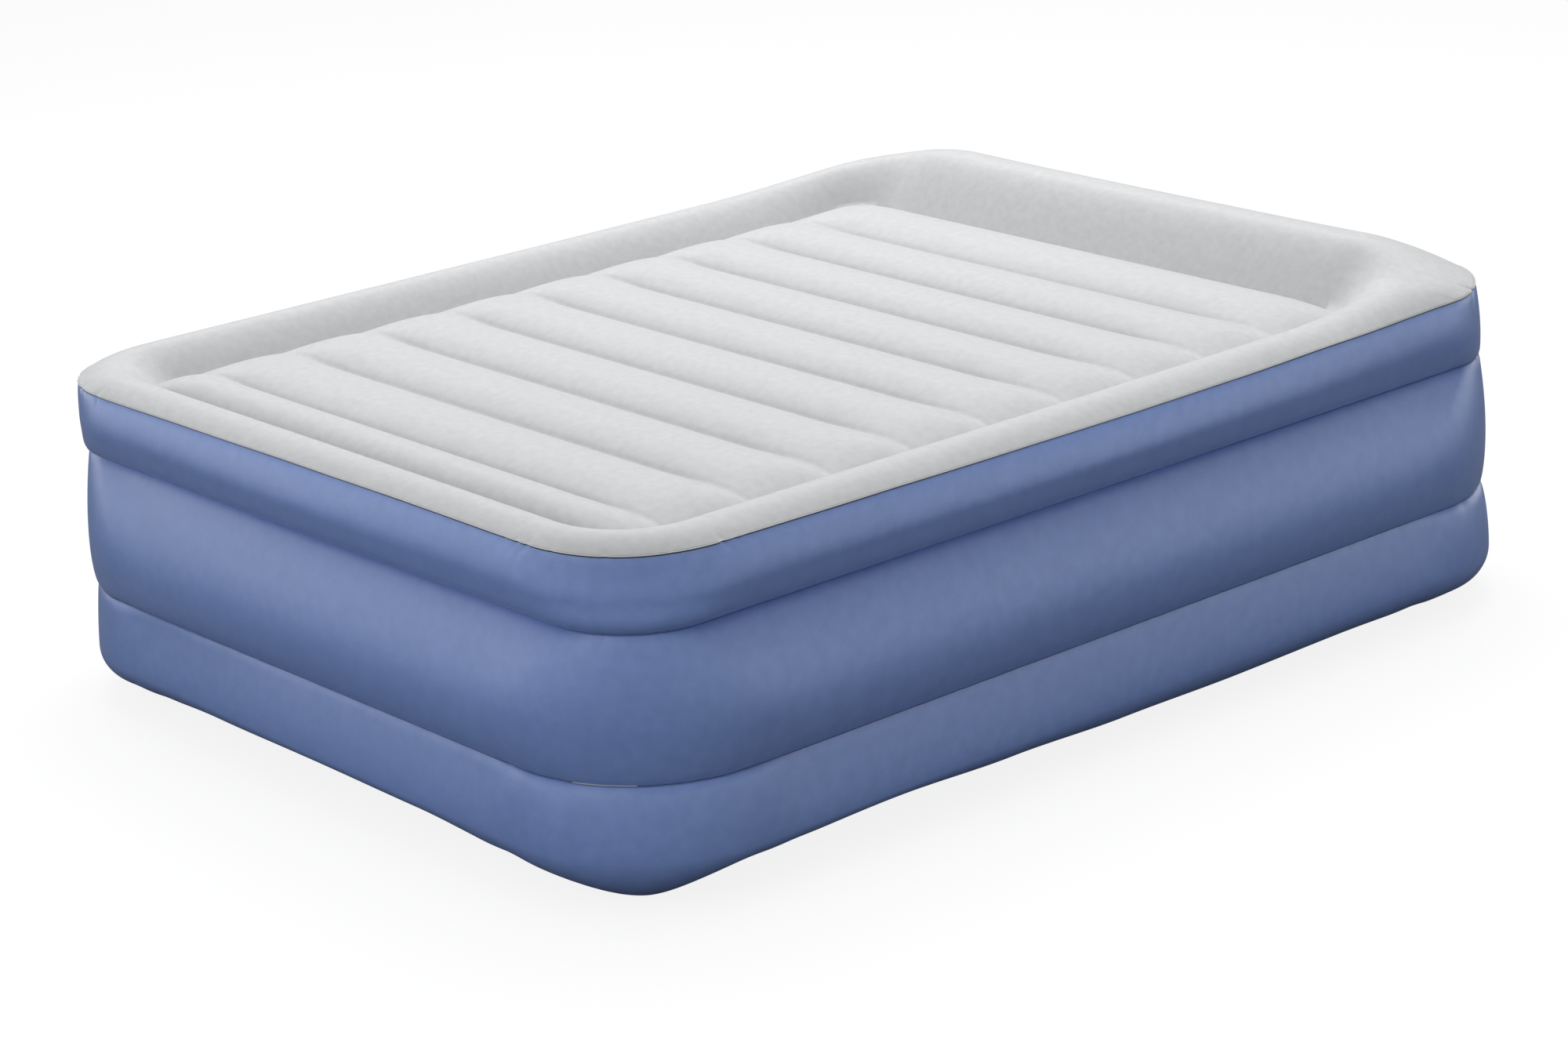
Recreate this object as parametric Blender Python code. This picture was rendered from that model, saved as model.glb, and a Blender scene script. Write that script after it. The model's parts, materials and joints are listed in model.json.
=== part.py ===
"""Raised queen-size air bed with a built-in mains pump, inflated.

Row frame: metres, +Z up, +Y towards the head (pillow) end, +X towards the side
that faces the viewer. The origin is on the floor under the middle of the bed.
Every sheet is a closed thin shell of film; the pump is a set of rigid mouldings
let into the head wall.
"""
import math

import bpy
import bmesh
from mathutils import Matrix, Vector

for old in list(bpy.data.objects):
    bpy.data.objects.remove(old, do_unlink=True)

# ---------------------------------------------------------------- driving sizes
HALF_WIDTH = 0.760        # half of the overall width, over the lower tier
HALF_LENGTH = 1.005       # half of the overall length, over the lower tier
FILM = 0.0005             # thickness of every vinyl sheet
GAP = 0.0003              # clearance between two pieces that touch

RIM_Z = 0.523             # weld line between the grey top and the blue side
UPPER_GIRTH_Z = 0.411     # girth weld between upper and middle tier
LOWER_GIRTH_Z = 0.190     # girth weld between middle and lower tier

RIM_INSET, RIM_RADIUS = 0.029, 0.197
UPPER_GIRTH_INSET, UPPER_GIRTH_RADIUS = 0.050, 0.128
LOWER_GIRTH_INSET, LOWER_GIRTH_RADIUS = 0.019, 0.225
FLOOR_INSET, FLOOR_RADIUS = 0.105, 0.135

UPPER_BULGE = 0.022       # how far each tier swells out between its two welds
MIDDLE_BULGE = 0.032
HEAD_BULGE = 0.010        # the pump frame holds the middle tier flatter at the head
BULGE_ROUNDING = 2.33     # a swollen tier also rounds its corners, this much faster

WELD = 0.014              # width of a weld margin
CORNER_STEPS = 6          # facets of each corner

BED_HALF_WIDTH = 0.600    # crease between perimeter bolster and sleeping surface
FOOT_BOLSTER, PILLOW = 0.140, 0.305   # along Y, from the bed's ends to the creases
BED_FOOT_Y, BED_HEAD_Y = FOOT_BOLSTER - HALF_LENGTH, HALF_LENGTH - PILLOW
BED_RADIUS = 0.080
CREASE_DROP = 0.028       # the crease lies this far below the rim
BOLSTER_RISE = 0.020      # crest of the bolster above the rim
PILLOW_RISE = 0.072       # crest of the pillow above the rim
SHOULDER_IN, SHOULDER_OUT = 0.132, 0.090   # the pillow's shoulder, inside and outside the crease
SHOULDER_DROP = 0.45      # share of its rise that the pillow loses over the shoulder
BOLSTER_CREST, PILLOW_CREST = 0.45, 0.62      # crest between rim (0) and crease (1)
BOLSTER_SHARES = (0.0, 0.22, BOLSTER_CREST, PILLOW_CREST, 0.84)    # loops of its facets
CHANNEL_RISE = 0.006      # crown of a channel above the rim
GROOVE_DEPTH = 0.026      # depth of a groove below its crown
GROOVE_COUNT = 9
FOOT_CHANNEL, HEAD_CHANNEL = 0.100, 0.189     # length of the first and last channel
FIRST_GROOVE_Y = BED_FOOT_Y + FOOT_CHANNEL
GROOVE_SPACING = (BED_HEAD_Y - HEAD_CHANNEL - FIRST_GROOVE_Y) / (GROOVE_COUNT - 1)
CROWN_MARGIN = 0.204      # a channel's crown falls to the side crease over this width
GROOVE_MARGIN = 0.090     # the beam under a groove ends this far from the side crease
GROOVE_FADE = 0.025       # and the groove has faded out this far from it
GROOVE_HALF = BED_HALF_WIDTH - GROOVE_MARGIN
PILLOW_RAMP = (HALF_LENGTH - 0.585, HALF_LENGTH - 0.165)   # the climb to the pillow, in Y

BEAM_CLEAR = 0.0005       # room between a beam and the facets of the sheet over it
BASE_BEAM_X = tuple(GROOVE_HALF * share for share in (-1.0, -0.5, 0.0, 0.5, 1.0))
BASE_BEAM_FOOT_Y = 0.225 - HALF_LENGTH       # short of the floor sheet's rounded ends
BASE_BEAM_HEAD_Y = HALF_LENGTH - 0.235
DECK_INSET = 0.001        # a deck ends this far inside its weld line
AIR_HOLE_RADIUS = 0.020
AIR_HOLE_X = 0.75 * GROOVE_HALF              # between two lengthwise beams
AIR_HOLE_Y = (-0.50, 0.35)
BELLY_HEIGHT = 0.089      # widest line of the lower tier, above the floor
BELLY_ROUNDING = 0.020    # and how much wider its corners are there
CUT = 0.010               # a cutter runs this far past what it cuts

# pump: everything is measured from the middle of its face
PUMP_X = -0.360
PUMP_Z = 0.300
FACE_CLEAR = 0.0035       # how far the frame stands proud of the wall
COLLAR_WIDTH, COLLAR_HEIGHT, COLLAR_RADIUS = 0.236, 0.150, 0.022
COLLAR_DEPTH = 0.040
PLATE_WIDTH, PLATE_HEIGHT, PLATE_RADIUS = 0.228, 0.142, 0.018
PLATE = 0.0030
TUB_WIDTH, TUB_HEIGHT, TUB_RADIUS = 0.2054, 0.1194, 0.012
TUB_DEPTH = 0.115
TUB_WALL = 0.0024
WALL_HOLE_MARGIN = 0.004  # the hole in the wall is this much wider than the tub
SCREW_INSET = 0.0092      # screw axes lie this far inside the tub's outer faces
SCREW_X, SCREW_Z = TUB_WIDTH / 2 - SCREW_INSET, TUB_HEIGHT / 2 - SCREW_INSET
SCREW_BOSS = 0.0048
SCREW_SHANK = 0.0014
SCREW_LENGTH = 0.014
SCREW_TIP_CLEAR = 0.001
SCREW_HEAD, SCREW_HEAD_TOP, SCREW_HEAD_RISE = 0.0030, 0.0018, 0.0016
SLOT_INSET = 0.0122       # middle of the air slots, inside the tub's outer face
SLOT_WIDTH, SLOT_HEIGHT, SLOT_SPACING, SLOT_COUNT = 0.0150, 0.0036, 0.0100, 5

BAY_X, BAY_WIDTH, BAY_HEIGHT, BAY_DEPTH, BAY_WALL = -0.048, 0.083, 0.091, 0.050, 0.0018
DOOR_OVERLAP = 0.0015     # the cord door covers this much plate around the bay
DOOR = 0.0024
HINGE_RISE = 0.0045       # hinge axis above the bay
HINGE_CLEAR = 0.0005      # room round the door's knuckle
PIN_RADIUS = 0.0012
KNUCKLE_RADIUS = 0.0030
KNUCKLE_LENGTH = 0.050
LUG_LENGTH = 0.006
LUG_ROOT = 0.001          # a lug is rooted this deep in the plate
GLAND_X, GLAND_Z = 0.0228, -0.0273           # from the middle of the bay
GLAND_RADIUS, GLAND_NECK, GLAND_BORE = 0.0065, 0.0047, 0.0030
GLAND_TIP, GLAND_NOSE, GLAND_TAIL = 0.0045, 0.0060, 0.0040

DIAL_X, DIAL_Z = 0.052, 0.020
DIAL_RADIUS, DIAL_DISC, DIAL_GRIP = 0.0215, 0.0040, 0.0040
DIAL_CHAMFER = 0.0010
GRIP_HALF_WIDTH, GRIP_HALF_LENGTH = 0.0032, 0.0185
STEM_RADIUS, STEM_LENGTH = 0.0040, 0.0150
DIAL_SEAL_RADIUS, DIAL_SEAL = 0.0070, 0.0025
CAM_RADIUS, CAM = 0.0110, 0.0040
CAM_NOSE_ROOT, CAM_NOSE_TIP, CAM_NOSE_HALF = 0.0060, 0.0165, 0.0030
SWITCH_X, SWITCH_Z = 0.052, -0.0375
SWITCH_WIDTH, SWITCH_HEIGHT, SWITCH_DEPTH = 0.0146, 0.0206, 0.0140
SWITCH_FLOOR = 0.0035
ROCKER_WIDTH, ROCKER_HEIGHT = 0.0116, 0.0170
ROCKER_TILT = math.radians(8)
ROCKER_PIVOT = 0.0040     # pivot behind the plate's face
ROCKER_CLEAR = 0.0006     # room above and below the rocker
ROCKER_BEVEL = 0.0008     # its lips are drawn in by this, to clear the body as it tilts
ROCKER_LIP, ROCKER_DIP, ROCKER_KEEL = 0.0058, 0.0040, 0.0035   # from the pivot
ROCKER_KEEL_HALF = 0.0030

BLOWER_X, BLOWER_Z = 0.050, 0.0
VOLUTE_RADIUS, VOLUTE_WALL, VOLUTE_DEPTH = 0.0400, 0.0020, 0.0260
VOLUTE_FRONT = 0.0240     # front of the blower behind the face plate's back
VOLUTE_FOOT_HALF, VOLUTE_FOOT_DEPTH, VOLUTE_FOOT_ROOT = 0.0100, 0.0100, 0.0010
OUTLET_HALF, OUTLET_REACH = 0.0120, 0.0120
OUTLET_BACK, OUTLET_FRONT = 0.0060, 0.0040   # wall left behind and before the outlet
INLET_RADIUS = 0.0160
FAN_CLEAR = 0.0025        # room between the fan and the volute's back
FAN_RADIUS, FAN_DEPTH, FAN_BLADES = 0.0340, 0.0140, 10
FAN_DISC, FAN_HUB = 0.0015, 0.0070
BLADE_HALF, BLADE_ROOT, BLADE_INSET = 0.0006, 0.0060, 0.0008
BLADE_PHASE = 0.3         # of a blade's spacing, so that no blade lies on an axis
SHAFT_RADIUS = 0.0020
SHAFT_CLEAR = 0.0006      # round the shaft where it passes the volute's back
MOTOR_RADIUS, MOTOR_LENGTH, MOTOR_WALL = 0.0180, 0.0360, 0.0025
MOTOR_END = 0.0050        # depth of each end of the can, which holds a bearing
CRADLE_WALL, CRADLE_GRIP = 0.0025, 0.0080
ARMATURE_RADIUS, ARMATURE_CLEAR = 0.0120, 0.0020
BEARING_RADIUS, BEARING_LENGTH, BEARING_SETBACK = 0.0055, 0.0040, 0.0005

VALVE_X, VALVE_Z = -0.055, 0.0
PORT_RADIUS = 0.0165
SEAT_WALL, SEAT_STANDOUT = 0.0026, 0.0015
SEAT_FLANGE_RADIUS, SEAT_FLANGE = 0.0200, 0.0018
GUIDE_RADIUS, GUIDE_LENGTH = 0.0036, 0.0080
SPOKE_COUNT, SPOKE_HALF, SPOKE_ROOT = 3, 0.0008, 0.0030
SPOKE_BITE = 0.0012       # a spoke runs this deep into the seat's wall
SPOKE_SETBACK = 0.0005
POPPET_RADIUS, POPPET = 0.0178, 0.0020
ROD_RADIUS = 0.0020
ROD_LENGTH = 0.0330
SPRING_RADIUS, SPRING_WIRE, SPRING_TURNS = 0.0048, 0.0005, 6
SPRING_STEPS = 10         # facets in each turn
CAP_RADIUS, CAP, CAP_SETBACK = 0.0065, 0.0030, 0.0005

# ---------------------------------------------------------------- materials
MATERIALS = {}


def material(name, colour, roughness, metallic=0.0):
    """One Principled material per finish."""
    if name not in MATERIALS:
        mat = bpy.data.materials.new(name)
        mat.use_nodes = True
        shader = mat.node_tree.nodes["Principled BSDF"]
        shader.inputs["Base Color"].default_value = (*colour, 1.0)
        shader.inputs["Roughness"].default_value = roughness
        shader.inputs["Metallic"].default_value = metallic
        MATERIALS[name] = mat
    return MATERIALS[name]


FLOCK = ("flocked_grey", (0.68, 0.69, 0.70), 0.95)
BLUE = ("blue_film", (0.13, 0.19, 0.38), 0.35)
CLEAR_FILM = ("inner_film", (0.45, 0.48, 0.52), 0.40)
DARK = ("dark_plastic", (0.06, 0.07, 0.09), 0.45)
GREY = ("grey_plastic", (0.32, 0.34, 0.37), 0.45)
STEEL = ("steel", (0.55, 0.55, 0.56), 0.30, 1.0)
BRASS = ("bronze", (0.62, 0.44, 0.20), 0.35, 1.0)
SEAL = ("seal_rubber", (0.03, 0.03, 0.03), 0.80)


# ---------------------------------------------------------------- mesh helpers
def add_object(name, bm, finish, origin=(0, 0, 0)):
    """Make the mesh an object whose origin is the given point."""
    bmesh.ops.recalc_face_normals(bm, faces=bm.faces)
    mesh = bpy.data.meshes.new(name)
    bmesh.ops.translate(bm, verts=bm.verts, vec=-Vector(origin))
    bm.to_mesh(mesh)
    bm.free()
    mesh.materials.append(material(*finish))
    obj = bpy.data.objects.new(name, mesh)
    obj.location = origin
    bpy.context.collection.objects.link(obj)
    return obj


def smooth(obj, angle=35):
    obj.data.shade_smooth()
    obj.data.set_sharp_from_angle(angle=math.radians(angle))
    return obj


def thicken(obj, depth=FILM, offset=-1.0):
    """Give a single surface its film thickness, on the side away from its normal."""
    solid = obj.modifiers.new("film", "SOLIDIFY")
    solid.thickness = depth
    solid.offset = offset
    solid.use_even_offset = False
    return obj


def boolean(obj, tool, operation="DIFFERENCE"):
    """Cut with, or join, a guide object that is itself left out of the model."""
    mod = obj.modifiers.new(tool.name, "BOOLEAN")
    mod.operation = operation
    mod.solver = "EXACT"
    mod.object = tool
    tool.hide_render = True
    tool.display_type = "WIRE"


def round_rect(half_x, low_y, high_y, radius, steps=CORNER_STEPS):
    """Corner points of a rounded rectangle in the XY plane, anticlockwise."""
    centres = ((half_x - radius, high_y - radius), (-half_x + radius, high_y - radius),
               (-half_x + radius, low_y + radius), (half_x - radius, low_y + radius))
    points = []
    for quarter, (cx, cy) in enumerate(centres):
        for step in range(steps + 1):
            angle = math.pi / 2 * (quarter + step / steps)
            points.append((cx + radius * math.cos(angle), cy + radius * math.sin(angle)))
    return points


def circle(across, up, radius, count):
    """Points of a circle, as pairs of coordinates in its own plane."""
    return [(across + radius * math.cos(2 * math.pi * k / count),
             up + radius * math.sin(2 * math.pi * k / count)) for k in range(count)]


def skin_rings(bm, rings, closed_ends=False):
    """Join rings with the same number of points by quads."""
    loops = [[bm.verts.new(p) for p in ring] for ring in rings]
    for lower, upper in zip(loops, loops[1:]):
        for i in range(len(lower)):
            j = (i + 1) % len(lower)
            bm.faces.new((lower[i], lower[j], upper[j], upper[i]))
    if closed_ends:
        bm.faces.new(list(reversed(loops[0])))
        bm.faces.new(loops[-1])
    return loops


def box_mesh(bm, low, high):
    ring = [(low[0], low[1]), (high[0], low[1]), (high[0], high[1]), (low[0], high[1])]
    skin_rings(bm, [[(x, y, z) for x, y in ring] for z in (low[2], high[2])], True)


def box(name, low, high, finish, origin=(0, 0, 0)):
    bm = bmesh.new()
    box_mesh(bm, low, high)
    return add_object(name, bm, finish, origin)


def lathe(name, profile, finish, centre, segments=32, ring=True, origin=None):
    """Turn a (radius, y) outline about a line along Y through the centre point.

    A ring's outline is a closed loop that stays off the axis. Otherwise the
    outline is open and its two ends are closed with flat faces.
    """
    bm = bmesh.new()
    rings = [[(x, centre[1] + y, z) for x, z in circle(centre[0], centre[2], radius, segments)]
             for radius, y in profile]
    loops = skin_rings(bm, rings, not ring)
    if ring:
        for i in range(segments):
            j = (i + 1) % segments
            bm.faces.new((loops[-1][i], loops[-1][j], loops[0][j], loops[0][i]))
    return add_object(name, bm, finish, origin or (0, 0, 0))


def drum(name, radius, y_back, y_front, finish, centre, segments=32, origin=None):
    """A solid cylinder along Y."""
    return lathe(name, [(radius, y_back), (radius, y_front)], finish, centre,
                 segments, False, origin)


def tube(name, bore, radius, y_back, y_front, finish, centre, segments=32, origin=None):
    """A hollow cylinder along Y."""
    outline = [(bore, y_back), (radius, y_back), (radius, y_front), (bore, y_front)]
    return lathe(name, outline, finish, centre, segments, True, origin)


def rounded_block(name, centre, width, height, radius, y_back, y_front, finish, steps=4):
    """A slab with rounded corners in XZ, between two depths in Y."""
    bm = bmesh.new()
    outline = round_rect(width / 2, -height / 2, height / 2, radius, steps)
    rings = [[(centre[0] + x, y, centre[1] + z) for x, z in outline]
             for y in (y_back, y_front)]
    skin_rings(bm, rings, True)
    return add_object(name, bm, finish)


def smoothstep(low, high, value):
    t = min(1.0, max(0.0, (value - low) / (high - low)))
    return t * t * (3 - 2 * t)


def mix(a, b, t):
    return a + (b - a) * t


# ---------------------------------------------------------------- outlines
def outline(inset, radius, extra_side=0.0, extra_head=None):
    """Half width, foot Y, head Y and radius of one horizontal section."""
    head = extra_side if extra_head is None else extra_head
    return (HALF_WIDTH - inset + extra_side, -(HALF_LENGTH - inset + extra_side),
            HALF_LENGTH - inset + head, radius + BULGE_ROUNDING * extra_side)


def section(values, z, inward=0.0):
    half_x, foot, head, radius = values
    points = round_rect(half_x - inward, foot + inward, head - inward, radius - inward)
    return [(x, y, z) for x, y in points]


def quarter_turn(step, steps):
    """Sine and cosine of a share of a right angle."""
    angle = math.pi / 2 * step / steps
    return math.sin(angle), math.cos(angle)


def tier_outline(top, bottom, bulge, head_bulge, t):
    """Section of a tier at height t (0 at its lower weld, 1 at its upper weld)."""
    swell = 4 * t * (1 - t)
    inset = mix(bottom[0], top[0], t)
    radius = mix(bottom[1], top[1], t)
    return outline(inset, radius, bulge * swell, head_bulge * swell)


RIM = (RIM_INSET, RIM_RADIUS)
UPPER_GIRTH = (UPPER_GIRTH_INSET, UPPER_GIRTH_RADIUS)
LOWER_GIRTH = (LOWER_GIRTH_INSET, LOWER_GIRTH_RADIUS)
FLOOR = (FLOOR_INSET, FLOOR_RADIUS)
HALF_SEAM = FILM / 2 + GAP     # each weld margin lies this far from the deck's middle


# ---------------------------------------------------------------- grey top sheet
def climb(y):
    """How much of the way from bolster (0) to pillow (1) the perimeter is at Y."""
    return smoothstep(PILLOW_RAMP[0], PILLOW_RAMP[1], y) ** 1.4


def crest_rise(x, y):
    """Height of the bolster's crest above the rim: it climbs to the pillow."""
    shoulder = 1 - SHOULDER_DROP * smoothstep(BED_HALF_WIDTH - SHOULDER_IN,
                                              BED_HALF_WIDTH + SHOULDER_OUT, abs(x))
    return mix(BOLSTER_RISE, PILLOW_RISE * shoulder, climb(y))


def bolster_height(share, x, y):
    """Height above the rim at a share of the way from rim (0) to crease (1)."""
    rise = crest_rise(x, y)
    crest = mix(BOLSTER_CREST, PILLOW_CREST, climb(y))
    if share < crest:
        return rise * (1 - ((crest - share) / crest) ** 2)
    fall = (share - crest) / (1 - crest)
    return rise - (rise + CREASE_DROP) * fall ** 1.8


def crease_lines():
    """Y of the foot crease, the grooves and the head crease."""
    grooves = [FIRST_GROOVE_Y + GROOVE_SPACING * i for i in range(GROOVE_COUNT)]
    return [BED_FOOT_Y] + grooves + [BED_HEAD_Y]


def crown_height(x):
    """Height of a channel's crown above the rim, falling to the side crease."""
    reach = min(1.0, max(0.0, (abs(x) - BED_HALF_WIDTH + CROWN_MARGIN) / CROWN_MARGIN))
    return -CREASE_DROP + (CHANNEL_RISE + CREASE_DROP) * (1 - reach ** 2.4)


def groove_drop(x):
    """How far a groove lies below the crown; it fades out before the bolster."""
    return GROOVE_DEPTH * (1 - smoothstep(BED_HALF_WIDTH - GROOVE_MARGIN,
                                          BED_HALF_WIDTH - GROOVE_FADE, abs(x)))


def bed_height(x, y, low, high):
    """Height above the rim of the sleeping surface between two lines."""
    s = (y - low) / (high - low)
    arch = (4 * s * (1 - s)) ** 0.75
    to_crease = crown_height(x) + CREASE_DROP
    drop_low = to_crease if low == BED_FOOT_Y else groove_drop(x)
    drop_high = to_crease if high == BED_HEAD_Y else groove_drop(x)
    return crown_height(x) - (1 - arch) * mix(drop_low, drop_high, s)


def bed_half_width(y):
    """Half width of the creased area, drawn in at its rounded corners."""
    overlap = max(BED_FOOT_Y + BED_RADIUS - y, y - (BED_HEAD_Y - BED_RADIUS), 0.0)
    return BED_HALF_WIDTH - BED_RADIUS + math.sqrt(max(0.0, BED_RADIUS ** 2 - overlap ** 2))


def bed_stations():
    """X stations of the sleeping surface, as shares of its half width."""
    groove_end = GROOVE_HALF / BED_HALF_WIDTH
    outward = [0.56 * groove_end, groove_end, mix(groove_end, 1.0, 0.6), 1.0]
    return [-share for share in reversed(outward)] + [0.0] + outward


BED_STATIONS = bed_stations()
BEAM_STATIONS = BED_STATIONS[2:-2]           # a beam ends where its groove does


def zip_loops(bm, outer, inner):
    """Fill between two closed loops that have different numbers of points."""
    def angles(loop):
        mean = (BED_HEAD_Y + BED_FOOT_Y) / 2
        found = [math.atan2((v.co.y - mean) / HALF_LENGTH, v.co.x / HALF_WIDTH) for v in loop]
        start = min(range(len(loop)), key=lambda k: found[k])
        order = list(range(start, len(loop))) + list(range(start))
        return [loop[k] for k in order], [found[k] for k in order]

    a, angle_a = angles(outer)
    b, angle_b = angles(inner)
    angle_a.append(angle_a[0] + 2 * math.pi)
    angle_b.append(angle_b[0] + 2 * math.pi)
    i = j = 0
    while i < len(a) or j < len(b):
        here, there = a[i % len(a)], b[j % len(b)]
        take_outer = j == len(b) or (i < len(a) and angle_a[i + 1] <= angle_b[j + 1])
        if take_outer:
            bm.faces.new((here, a[(i + 1) % len(a)], there))
            i += 1
        else:
            bm.faces.new((here, b[(j + 1) % len(b)], there))
            j += 1


SIDE_PIECES = (4, 6, 4, 6)     # facets of the four straight sides, after each corner


def with_side_points(ring):
    """Add the stations along the straight sides to a ring of corner points."""
    loop = []
    count = len(ring)
    for k in range(count):
        loop.append(ring[k])
        if (k + 1) % (CORNER_STEPS + 1) == 0:
            pieces = SIDE_PIECES[k // (CORNER_STEPS + 1)]
            following = ring[(k + 1) % count]
            for m in range(1, pieces):
                loop.append(tuple(mix(a, b, m / pieces) for a, b in zip(ring[k], following)))
    return loop


def bolster_loop(share):
    """One loop of the bolster, between the rim and the crease."""
    rim = with_side_points(round_rect(*outline(*RIM)))
    crease = with_side_points(round_rect(BED_HALF_WIDTH, BED_FOOT_Y, BED_HEAD_Y, BED_RADIUS))
    loop = []
    for (rim_x, rim_y), (crease_x, crease_y) in zip(rim, crease):
        x, y = mix(rim_x, crease_x, share), mix(rim_y, crease_y, share)
        loop.append((x, y, RIM_Z + bolster_height(share, x, y)))
    return loop


def build_top_sheet():
    bm = bmesh.new()
    loops = skin_rings(bm, [bolster_loop(share) for share in BOLSTER_SHARES])
    rows = []
    lines = crease_lines()
    for low, high in zip(lines, lines[1:]):
        for s in (0.0, 0.22, 0.5, 0.78):
            rows.append((mix(low, high, s), low, high))
    rows.append((lines[-1], lines[-2], lines[-1]))
    grid = []
    for y, low, high in rows:
        reach = bed_half_width(y)
        grid.append([bm.verts.new((s * reach, y, RIM_Z + bed_height(s * reach, y, low, high)))
                     for s in BED_STATIONS])
    for near, far in zip(grid, grid[1:]):
        for i in range(len(near) - 1):
            bm.faces.new((near[i], near[i + 1], far[i + 1], far[i]))
    inner = grid[0] + [row[-1] for row in grid[1:]] + list(reversed(grid[-1][:-1]))
    inner += [row[0] for row in reversed(grid[1:-1])]
    zip_loops(bm, loops[-1], inner)
    top = add_object("top_sheet", bm, FLOCK)
    if sum(p.normal.z for p in top.data.polygons) < 0:
        top.data.flip_normals()
    return smooth(thicken(top), 60)


# ---------------------------------------------------------------- blue side bands
def side_band(name, rings):
    """A swept band: its rings run from top to bottom, seen from outside."""
    bm = bmesh.new()
    loops = [[bm.verts.new(p) for p in ring] for ring in rings]
    for upper, lower in zip(loops, loops[1:]):
        for i in range(len(upper)):
            j = (i + 1) % len(upper)
            bm.faces.new((upper[i], lower[i], lower[j], upper[j]))
    mesh = bpy.data.meshes.new(name)
    bm.to_mesh(mesh)
    bm.free()
    mesh.materials.append(material(*BLUE))
    band = bpy.data.objects.new(name, mesh)
    bpy.context.collection.objects.link(band)
    return smooth(thicken(band), 50)


def tier_rings(top, bottom, bulge, head_bulge, z_top, z_bottom, levels):
    """Rings of a swollen wall from its upper to its lower weld."""
    rings = []
    for k in range(levels + 1):
        t = 1 - k / levels
        rings.append(section(tier_outline(top, bottom, bulge, head_bulge, t),
                             mix(z_bottom, z_top, t)))
    return rings


def build_upper_band():
    top = RIM_Z - FILM - GAP
    bottom = UPPER_GIRTH_Z + HALF_SEAM
    rings = [section(outline(*RIM), top, WELD)]
    rings += tier_rings(RIM, UPPER_GIRTH, UPPER_BULGE, UPPER_BULGE, top, bottom, 6)
    rings.append(section(outline(*UPPER_GIRTH), bottom, WELD))
    side_band("upper_side_band", rings)


MIDDLE_LEVELS = 8


def middle_rings():
    top, bottom = UPPER_GIRTH_Z - HALF_SEAM, LOWER_GIRTH_Z + HALF_SEAM
    return tier_rings(UPPER_GIRTH, LOWER_GIRTH, MIDDLE_BULGE, HEAD_BULGE, top, bottom,
                      MIDDLE_LEVELS)


def build_middle_band():
    rings = middle_rings()
    first = section(outline(*UPPER_GIRTH), rings[0][0][2], WELD)
    last = section(outline(*LOWER_GIRTH), rings[-1][0][2], WELD)
    side_band("middle_side_band", [first] + rings + [last])
    band = bpy.data.objects["middle_side_band"]
    margin = WALL_HOLE_MARGIN
    hole = rounded_block("pump_hole_cutter", (PUMP_X, PUMP_Z), TUB_WIDTH + 2 * margin,
                         TUB_HEIGHT + 2 * margin, TUB_RADIUS + margin, TUB_BACK,
                         COLLAR_Y + CUT, BLUE)
    boolean(band, hole)


OUT_STEPS, UNDER_STEPS = 4, 5  # facets of the lower tier above and below its widest line


def build_lower_band():
    """The lowest wall swells out from its weld and rounds under to the floor."""
    top = LOWER_GIRTH_Z - HALF_SEAM
    floor = 2 * FILM + GAP
    widest = LOWER_GIRTH_RADIUS + BELLY_ROUNDING
    rings = [section(outline(*LOWER_GIRTH), top, WELD)]
    for step in range(OUT_STEPS + 1):
        sine, cosine = quarter_turn(step, OUT_STEPS)
        values = outline(LOWER_GIRTH_INSET * (1 - sine), mix(LOWER_GIRTH_RADIUS, widest, sine))
        rings.append(section(values, mix(BELLY_HEIGHT, top, cosine)))
    for step in range(1, UNDER_STEPS + 1):
        sine, cosine = quarter_turn(step, UNDER_STEPS)
        values = outline(FLOOR_INSET * (1 - cosine), mix(FLOOR_RADIUS, widest, cosine))
        rings.append(section(values, mix(BELLY_HEIGHT, floor, sine)))
    rings.append(section(outline(*FLOOR), floor, WELD))
    side_band("lower_side_band", rings)


def build_bottom_sheet():
    bm = bmesh.new()
    skin_rings(bm, [section(outline(*FLOOR), z) for z in (0.0, FILM)], True)
    add_object("bottom_sheet", bm, BLUE)


# ---------------------------------------------------------------- decks and beams
def build_deck(name, weld_line, z):
    """An inner sheet welded between two tiers, with four air holes."""
    bm = bmesh.new()
    rings = [section(outline(*weld_line), level, DECK_INSET)
             for level in (z - FILM / 2, z + FILM / 2)]
    skin_rings(bm, rings, True)
    deck = add_object(name, bm, CLEAR_FILM)
    bm = bmesh.new()
    for x in (-AIR_HOLE_X, AIR_HOLE_X):
        for y in AIR_HOLE_Y:
            hole = circle(x, y, AIR_HOLE_RADIUS, 12)
            skin_rings(bm, [[(px, py, level) for px, py in hole]
                            for level in (z - CUT, z + CUT)], True)
    boolean(deck, add_object(name + "_cutter", bm, CLEAR_FILM))


def build_cross_beams():
    """Upright film webs that hold each groove down to the deck."""
    foot = UPPER_GIRTH_Z + FILM / 2 + GAP
    for number, y in enumerate(crease_lines()[1:-1], 1):
        bm = bmesh.new()
        profile = []
        for share in BEAM_STATIONS:
            x = share * BED_HALF_WIDTH
            profile.append((x, RIM_Z + crown_height(x) - groove_drop(x) - FILM - BEAM_CLEAR))
        rings = []
        for side in (-FILM / 2, FILM / 2):
            ring = [(x, y + side, z) for x, z in profile]
            ring += [(x, y + side, foot) for x, z in reversed(profile)]
            rings.append(ring)
        skin_rings(bm, rings, True)
        add_object(f"cross_beam_{number}", bm, CLEAR_FILM)


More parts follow.
